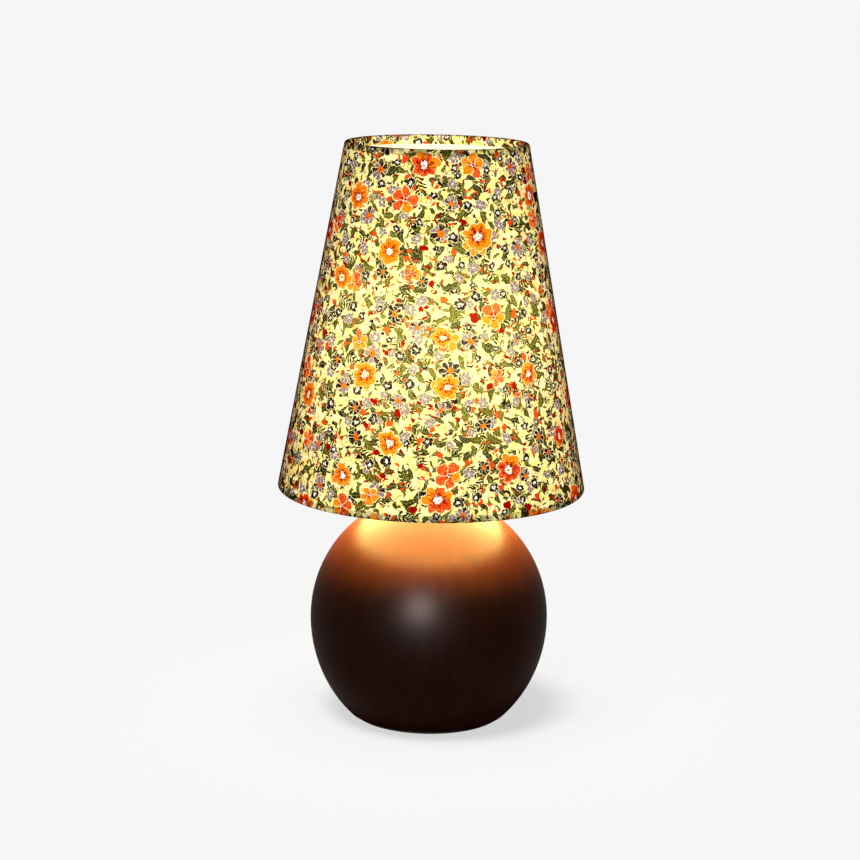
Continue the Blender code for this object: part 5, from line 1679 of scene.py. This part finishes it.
class LampBall(Operator):
    """Model the turned wooden ball with its recess, bore and cable inlet"""

    bl_idname = "lamp.ball"
    bl_label = "Turned Ball"

    def execute(self, context):
        sizes = context.scene.lamp_base
        form = spun(self.outline(sizes), BALL_SEGMENTS, closed=True)
        ball = add_piece("turned_ball", form, "ball_body")
        combine(ball, "DIFFERENCE", *self.inlet_cutters(sizes))
        return {"FINISHED"}

    def outline(self, sizes):
        """Down the outside, round the foot, and up the recess and the bore."""
        low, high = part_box("ball_body")
        base, top = low.z, high.z
        widest = base + sizes.equator
        radius = high.x
        drop = sizes.equator / math.sqrt(1 - (sizes.foot_radius / radius) ** 2)
        seat = math.asin((top - widest) / sizes.upper_rise)
        points = []
        upper_steps, lower_steps, fillet_steps = 44, 40, 8
        for step in range(upper_steps):
            turn = seat * (1 - step / upper_steps)
            points.append(Vector((radius * math.cos(turn), widest + sizes.upper_rise * math.sin(turn))))
        foot, centre = self.foot_fillet(sizes, radius, drop)
        for step in range(lower_steps):
            turn = foot * step / lower_steps
            points.append(Vector((radius * math.cos(turn), widest - drop * math.sin(turn))))
        leaving = math.atan2(-math.sin(foot) / drop, math.cos(foot) / radius)
        centre = centre + Vector((0, base))
        points += arc(centre, sizes.foot_fillet, leaving, -math.pi / 2, fillet_steps)
        plate_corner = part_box("bottom_plate")[1]
        plate, rebate = plate_corner.x + FIT, plate_corner.z + FIT
        recess, ceiling = plate - sizes.ledge, base + sizes.recess
        inside = (
            (plate, base), (plate, rebate), (recess, rebate), (recess, ceiling),
            (sizes.bore, ceiling), (sizes.bore, top),
        )
        return points + [Vector(place) for place in inside]

    def foot_fillet(self, sizes, radius, drop):
        """The angle on the lower ellipse where the fillet starts, and the fillet's middle."""

        def middle(turn):
            across, down = math.cos(turn), math.sin(turn)
            normal = Vector((across / radius, -down / drop)).normalized()
            surface = Vector((radius * across, sizes.equator - drop * down))
            return surface - normal * sizes.foot_fillet

        low, high = 0.0, math.pi / 2
        for _ in range(HALVINGS):
            half = (low + high) / 2
            if middle(half).y > sizes.foot_fillet:
                low = half
            else:
                high = half
        return low, middle(low)

    def inlet_cutters(self, sizes):
        """The cable's bore through the back, and the counterbore for the bush's flange."""
        low, high, middle, half = measured("cable_bush")
        bore = sizes.bush_bore + sizes.bush_wall + FIT
        floor = high.y - sizes.bush_flange - FIT
        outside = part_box("ball_body")[1].y
        return [
            rod(radius, outside - inner, (0, (outside + inner) / 2, middle.z), "Y")
            for radius, inner in ((bore, low.y - INLET_RUN), (half.z + FIT, floor))
        ]


class LampFoot(Operator):
    """Model the felt ring, the cover plate with its countersunk screws, and the cable bush"""

    bl_idname = "lamp.foot"
    bl_label = "Foot"

    def execute(self, context):
        sizes = context.scene.lamp_base
        low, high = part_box("bottom_plate")
        corners = [
            (0, high.z, 0), (high.x, high.z, sizes.plate_fillet), (high.x, low.z, sizes.plate_fillet),
            (0, low.z, 0),
        ]
        plate = lathe("cover_plate", "bottom_plate", corners, BALL_SEGMENTS, closed=False)
        inner = high.x + FIT + sizes.felt_margin
        bored("felt_foot", "felt_ring", inner, [THIN_EDGE] * 4, BALL_SEGMENTS)
        sinks = [self.model_screw(sizes, number) for number in (1, 2, 3)]
        combine(plate, "DIFFERENCE", *sinks)
        self.model_bush(sizes)
        return {"FINISHED"}

    def model_screw(self, sizes, number):
        """A countersunk screw with a cross recess; gives back the hole that takes it."""
        node = f"plate_screw_{number}"
        low, high, middle, half = measured(node)
        place = Vector((middle.x, middle.y, low.z))
        head, run = half.x, high.z - low.z
        shank, depth, point = sizes.screw_shank, SCREW_HEAD, run - SCREW_POINT
        corners = [(0, run, 0), (shank, point, 0), (shank, depth, 0), (head, 0, 0), (0, 0, 0)]
        thread = Thread((shank,), SCREW_THREAD_START, point, sizes.screw_pitch, SCREW_THREAD, True)
        screw = lathe(
            f"cross_screw_{number}", node, corners, SMALL_SEGMENTS, closed=False, thread=thread, place=place
        )
        long, wide, deep = CROSS_RECESS
        arms = ((long, wide, deep), (wide, long, deep))
        combine(screw, "DIFFERENCE", *[bar_form(size, place) for size in arms])
        corners = [
            (0, run + FIT, 0), (shank + FIT, point + FIT, 0), (shank + FIT, depth + FIT, 0),
            (head + FIT, 0, 0), (head + FIT, -OVERRUN, 0), (0, -OVERRUN, 0),
        ]
        return stand(turned_form(corners, SMALL_SEGMENTS, closed=False), place)

    def model_bush(self, sizes):
        _, high, middle, half = measured("cable_bush")
        outer = sizes.bush_bore + sizes.bush_wall
        flange, run = half.x, 2 * half.y
        corners = [
            (outer, run, FINE), (outer, sizes.bush_flange, 0),
            (flange, sizes.bush_flange, SLIGHT), (flange, 0, 0.6 * MM),
            (sizes.bush_bore, 0, 0.7 * MM), (sizes.bush_bore, run, FINE),
        ]
        place = (0, high.y, middle.z)
        lathe("inlet_bush", "cable_bush", corners, SMALL_SEGMENTS, place=place, axis="Y")


class LampColumn(Operator):
    """Model the threaded tube that ties the ball to the lampholder, with its nuts and plates"""

    bl_idname = "lamp.column"
    bl_label = "Threaded Tube"

    def execute(self, context):
        sizes = context.scene.lamp_base
        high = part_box("threaded_tube")[1]
        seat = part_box("ball_body")[1].z
        thread = Thread((high.x,), seat, high.z, sizes.tube_pitch, sizes.tube_thread, True)
        edges = (FINE, FINE, SLIGHT, SLIGHT)
        bored("threaded_tube_cut", "threaded_tube", sizes.tube_bore, edges, SMALL_SEGMENTS, thread)
        nut("recess_nut", "tube_nut", sizes.bore)
        nut("seat_nut", "neck_nut", sizes.bore)
        bored("recess_washer", "tube_washer", sizes.bore, (WASHER_ROUND, STAMPED, 0, STAMPED))
        bored("seat_plate", "neck_plate", sizes.bore, (PLATE_ROUND, STAMPED, 0, STAMPED))
        return {"FINISHED"}


# Stage


SELF_LIT = ("floral_print_cotton", "white_liner", "opal_glass")
KEY_AIM = Vector((0.42, 0.62, -2.1))
KEY_ANGLE = math.radians(22)
FRONT_PLACE = Vector((-0.30, -1.9, 0.76))
FRONT_TARGET = Vector((0, 0, 0.1))
FRONT_TINT = (1.0, 0.80, 0.78)
FRONT_SIZE = 0.5
BULB_LIGHT_RADIUS = 0.029
THROWN_PLACE = (0, 0, 0.178)
THROWN_SIZE = 0.090
GLEAM_PLACE = (0, 0, 0.155)
GLEAM_TINT = (0.74, 0.68, 0.20)
GLEAM_SIZE = 0.172
FLOOR_SEEN = (0.95, 0.95, 0.95)
FLOOR_THROWN = (0.22, 0.22, 0.22)
FLOOR_HALF = 60


class LampStudio(Operator):
    """Set the camera, the pale floor, the soft light and the bulb's own light"""

    bl_idname = "lamp.studio"
    bl_label = "Studio"

    def execute(self, context):
        scene = context.scene
        stage = scene.lamp_stage
        self.set_camera(scene, stage)
        self.set_world(scene, stage)
        floor = self.lay_floor(stage)
        self.hang_lights(scene, floor)
        scene.view_settings.view_transform = "Standard"
        return {"FINISHED"}

    def set_camera(self, scene, stage):
        camera = bpy.data.objects.new("camera", bpy.data.cameras.new("camera"))
        scene.collection.objects.link(camera)
        camera.data.lens = stage.lens
        camera.data.sensor_width = 36
        aim = Matrix.Rotation(math.pi / 2 - stage.camera_pitch, 4, "X")
        roll = Matrix.Rotation(stage.camera_roll, 4, "Z")
        camera.matrix_world = Matrix.Translation(stage.camera_place) @ aim @ roll
        scene.camera = camera

    def set_world(self, scene, stage):
        """Even soft light, and the backdrop's own colour where the camera sees it."""
        world = bpy.data.worlds.new("studio")
        scene.world = world
        world.use_nodes = True
        net = Net(world.node_tree)
        background = world.node_tree.nodes["Background"]
        path = net.add("ShaderNodeLightPath")
        seen = net.math("MAXIMUM", path.outputs["Is Camera Ray"], path.outputs["Is Transmission Ray"])
        fill = (stage.fill, stage.fill, stage.fill)
        net.feed(background.inputs["Color"], net.mix(seen, fill, tuple(stage.backdrop)))

    def lay_floor(self, stage):
        form = bmesh.new()
        bmesh.ops.create_grid(form, x_segments=1, y_segments=1, size=FLOOR_HALF)
        floor = new_object("floor", form)
        floor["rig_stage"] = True
        material, net, shader = new_material("pale_floor")
        floor.data.materials.append(material)
        path = net.add("ShaderNodeLightPath")
        seen = path.outputs["Is Camera Ray"]
        tone = net.mix(seen, FLOOR_THROWN, FLOOR_SEEN)
        net.set(shader, Base_Color=tone, Roughness=1.0, Specular_IOR_Level=0.0)
        even = net.add("ShaderNodeEmission")
        net.feed(even.inputs["Color"], tuple(stage.backdrop))
        mixed = net.add("ShaderNodeMixShader")
        net.feed(mixed.inputs[0], net.times(seen, stage.floor_evenness))
        net.feed(mixed.inputs[1], shader.outputs[0])
        net.feed(mixed.inputs[2], even.outputs[0])
        output = material.node_tree.nodes["Material Output"]
        net.feed(output.inputs["Surface"], mixed.outputs[0])
        return floor

    def hang_lights(self, scene, floor):
        stage, light = scene.lamp_stage, scene.lamp_light
        inside = [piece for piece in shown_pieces() if piece.get("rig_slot") not in SELF_LIT]
        ball = [piece for piece in inside if piece.get("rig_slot") == "dark_lacquered_wood"]
        fittings = [piece for piece in inside if piece not in ball]
        self.hang("key", "SUN", stage.key_power, [floor], aim=KEY_AIM, angle=KEY_ANGLE)
        disk = {"shape": "DISK"}
        self.hang(
            "front", "AREA", stage.front_watts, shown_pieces(), FRONT_PLACE, FRONT_TARGET - FRONT_PLACE,
            unseen="visible_diffuse", color=FRONT_TINT, size=FRONT_SIZE, **disk,
        )
        bulb = {
            "place": bulb_centre(), "unseen": "visible_glossy", "color": light.warm,
            "shadow_soft_size": BULB_LIGHT_RADIUS,
        }
        self.hang("bulb_light", "POINT", light.bulb_watts, ball, **bulb)
        self.hang("bulb_light_on_fittings", "POINT", light.near_watts, fittings, **bulb)
        self.hang(
            "thrown_down", "AREA", light.thrown_watts, inside, THROWN_PLACE,
            unseen="visible_glossy", color=light.warm, size=THROWN_SIZE, **disk,
        )
        self.hang(
            "gleam", "AREA", light.gleam_watts, inside, GLEAM_PLACE,
            unseen="visible_diffuse", color=GLEAM_TINT, size=GLEAM_SIZE, **disk,
        )

    def hang(self, name, kind, power, lit, place=(0, 0, 0), aim=None, unseen=None, **settings):
        """A light kept to the lit pieces; unseen names the rays that it doesn't reach."""
        light = bpy.data.objects.new(name, bpy.data.lights.new(name, kind))
        bpy.context.scene.collection.objects.link(light)
        light.location = place
        light.data.energy = power
        for setting, value in settings.items():
            setattr(light.data, setting, value)
        if aim:
            light.rotation_euler = aim.to_track_quat("-Z", "Y").to_euler()
        if unseen:
            setattr(light, unseen, False)
        receivers = bpy.data.collections.new(f"lit_by_{name}")
        for piece in lit:
            receivers.objects.link(piece)
        light.light_linking.receiver_collection = receivers


PIECES = (
    LampBall,
    LampFoot,
    LampColumn,
    LampHolder,
    LampSwitchBar,
    LampClampingRing,
    LampBulb,
    LampCover,
    LampLiner,
    LampFitter,
    LampStudio,
)


class LampPanel(Panel):
    """Lists the lamp's pieces"""

    bl_idname = "VIEW3D_PT_lamp"
    bl_label = "Table Lamp"
    bl_space_type = "VIEW_3D"
    bl_region_type = "UI"
    bl_category = "Lamp"

    def draw(self, context):
        for piece in PIECES:
            self.layout.operator(piece.bl_idname)


SETTINGS = {
    "lamp_shade": LampShadeSizes,
    "lamp_base": LampBaseSizes,
    "lamp_bulb": LampBulbSizes,
    "lamp_holder": LampHolderSizes,
    "lamp_print": LampPrintColours,
    "lamp_finishes": LampFinishColours,
    "lamp_light": LampLight,
    "lamp_stage": LampStage,
}


def register():
    for group in SETTINGS.values():
        bpy.utils.register_class(group)
    for kind in (*PIECES, LampPanel):
        bpy.utils.register_class(kind)
    for name, group in SETTINGS.items():
        setattr(bpy.types.Scene, name, PointerProperty(type=group))


def unregister():
    for name in SETTINGS:
        delattr(bpy.types.Scene, name)
    for kind in (LampPanel, *reversed(PIECES), *reversed(SETTINGS.values())):
        bpy.utils.unregister_class(kind)


def main():
    register()
    for piece in PIECES:
        group, _, name = piece.bl_idname.partition(".")
        getattr(getattr(bpy.ops, group), name)()


if __name__ == "__main__":
    main()
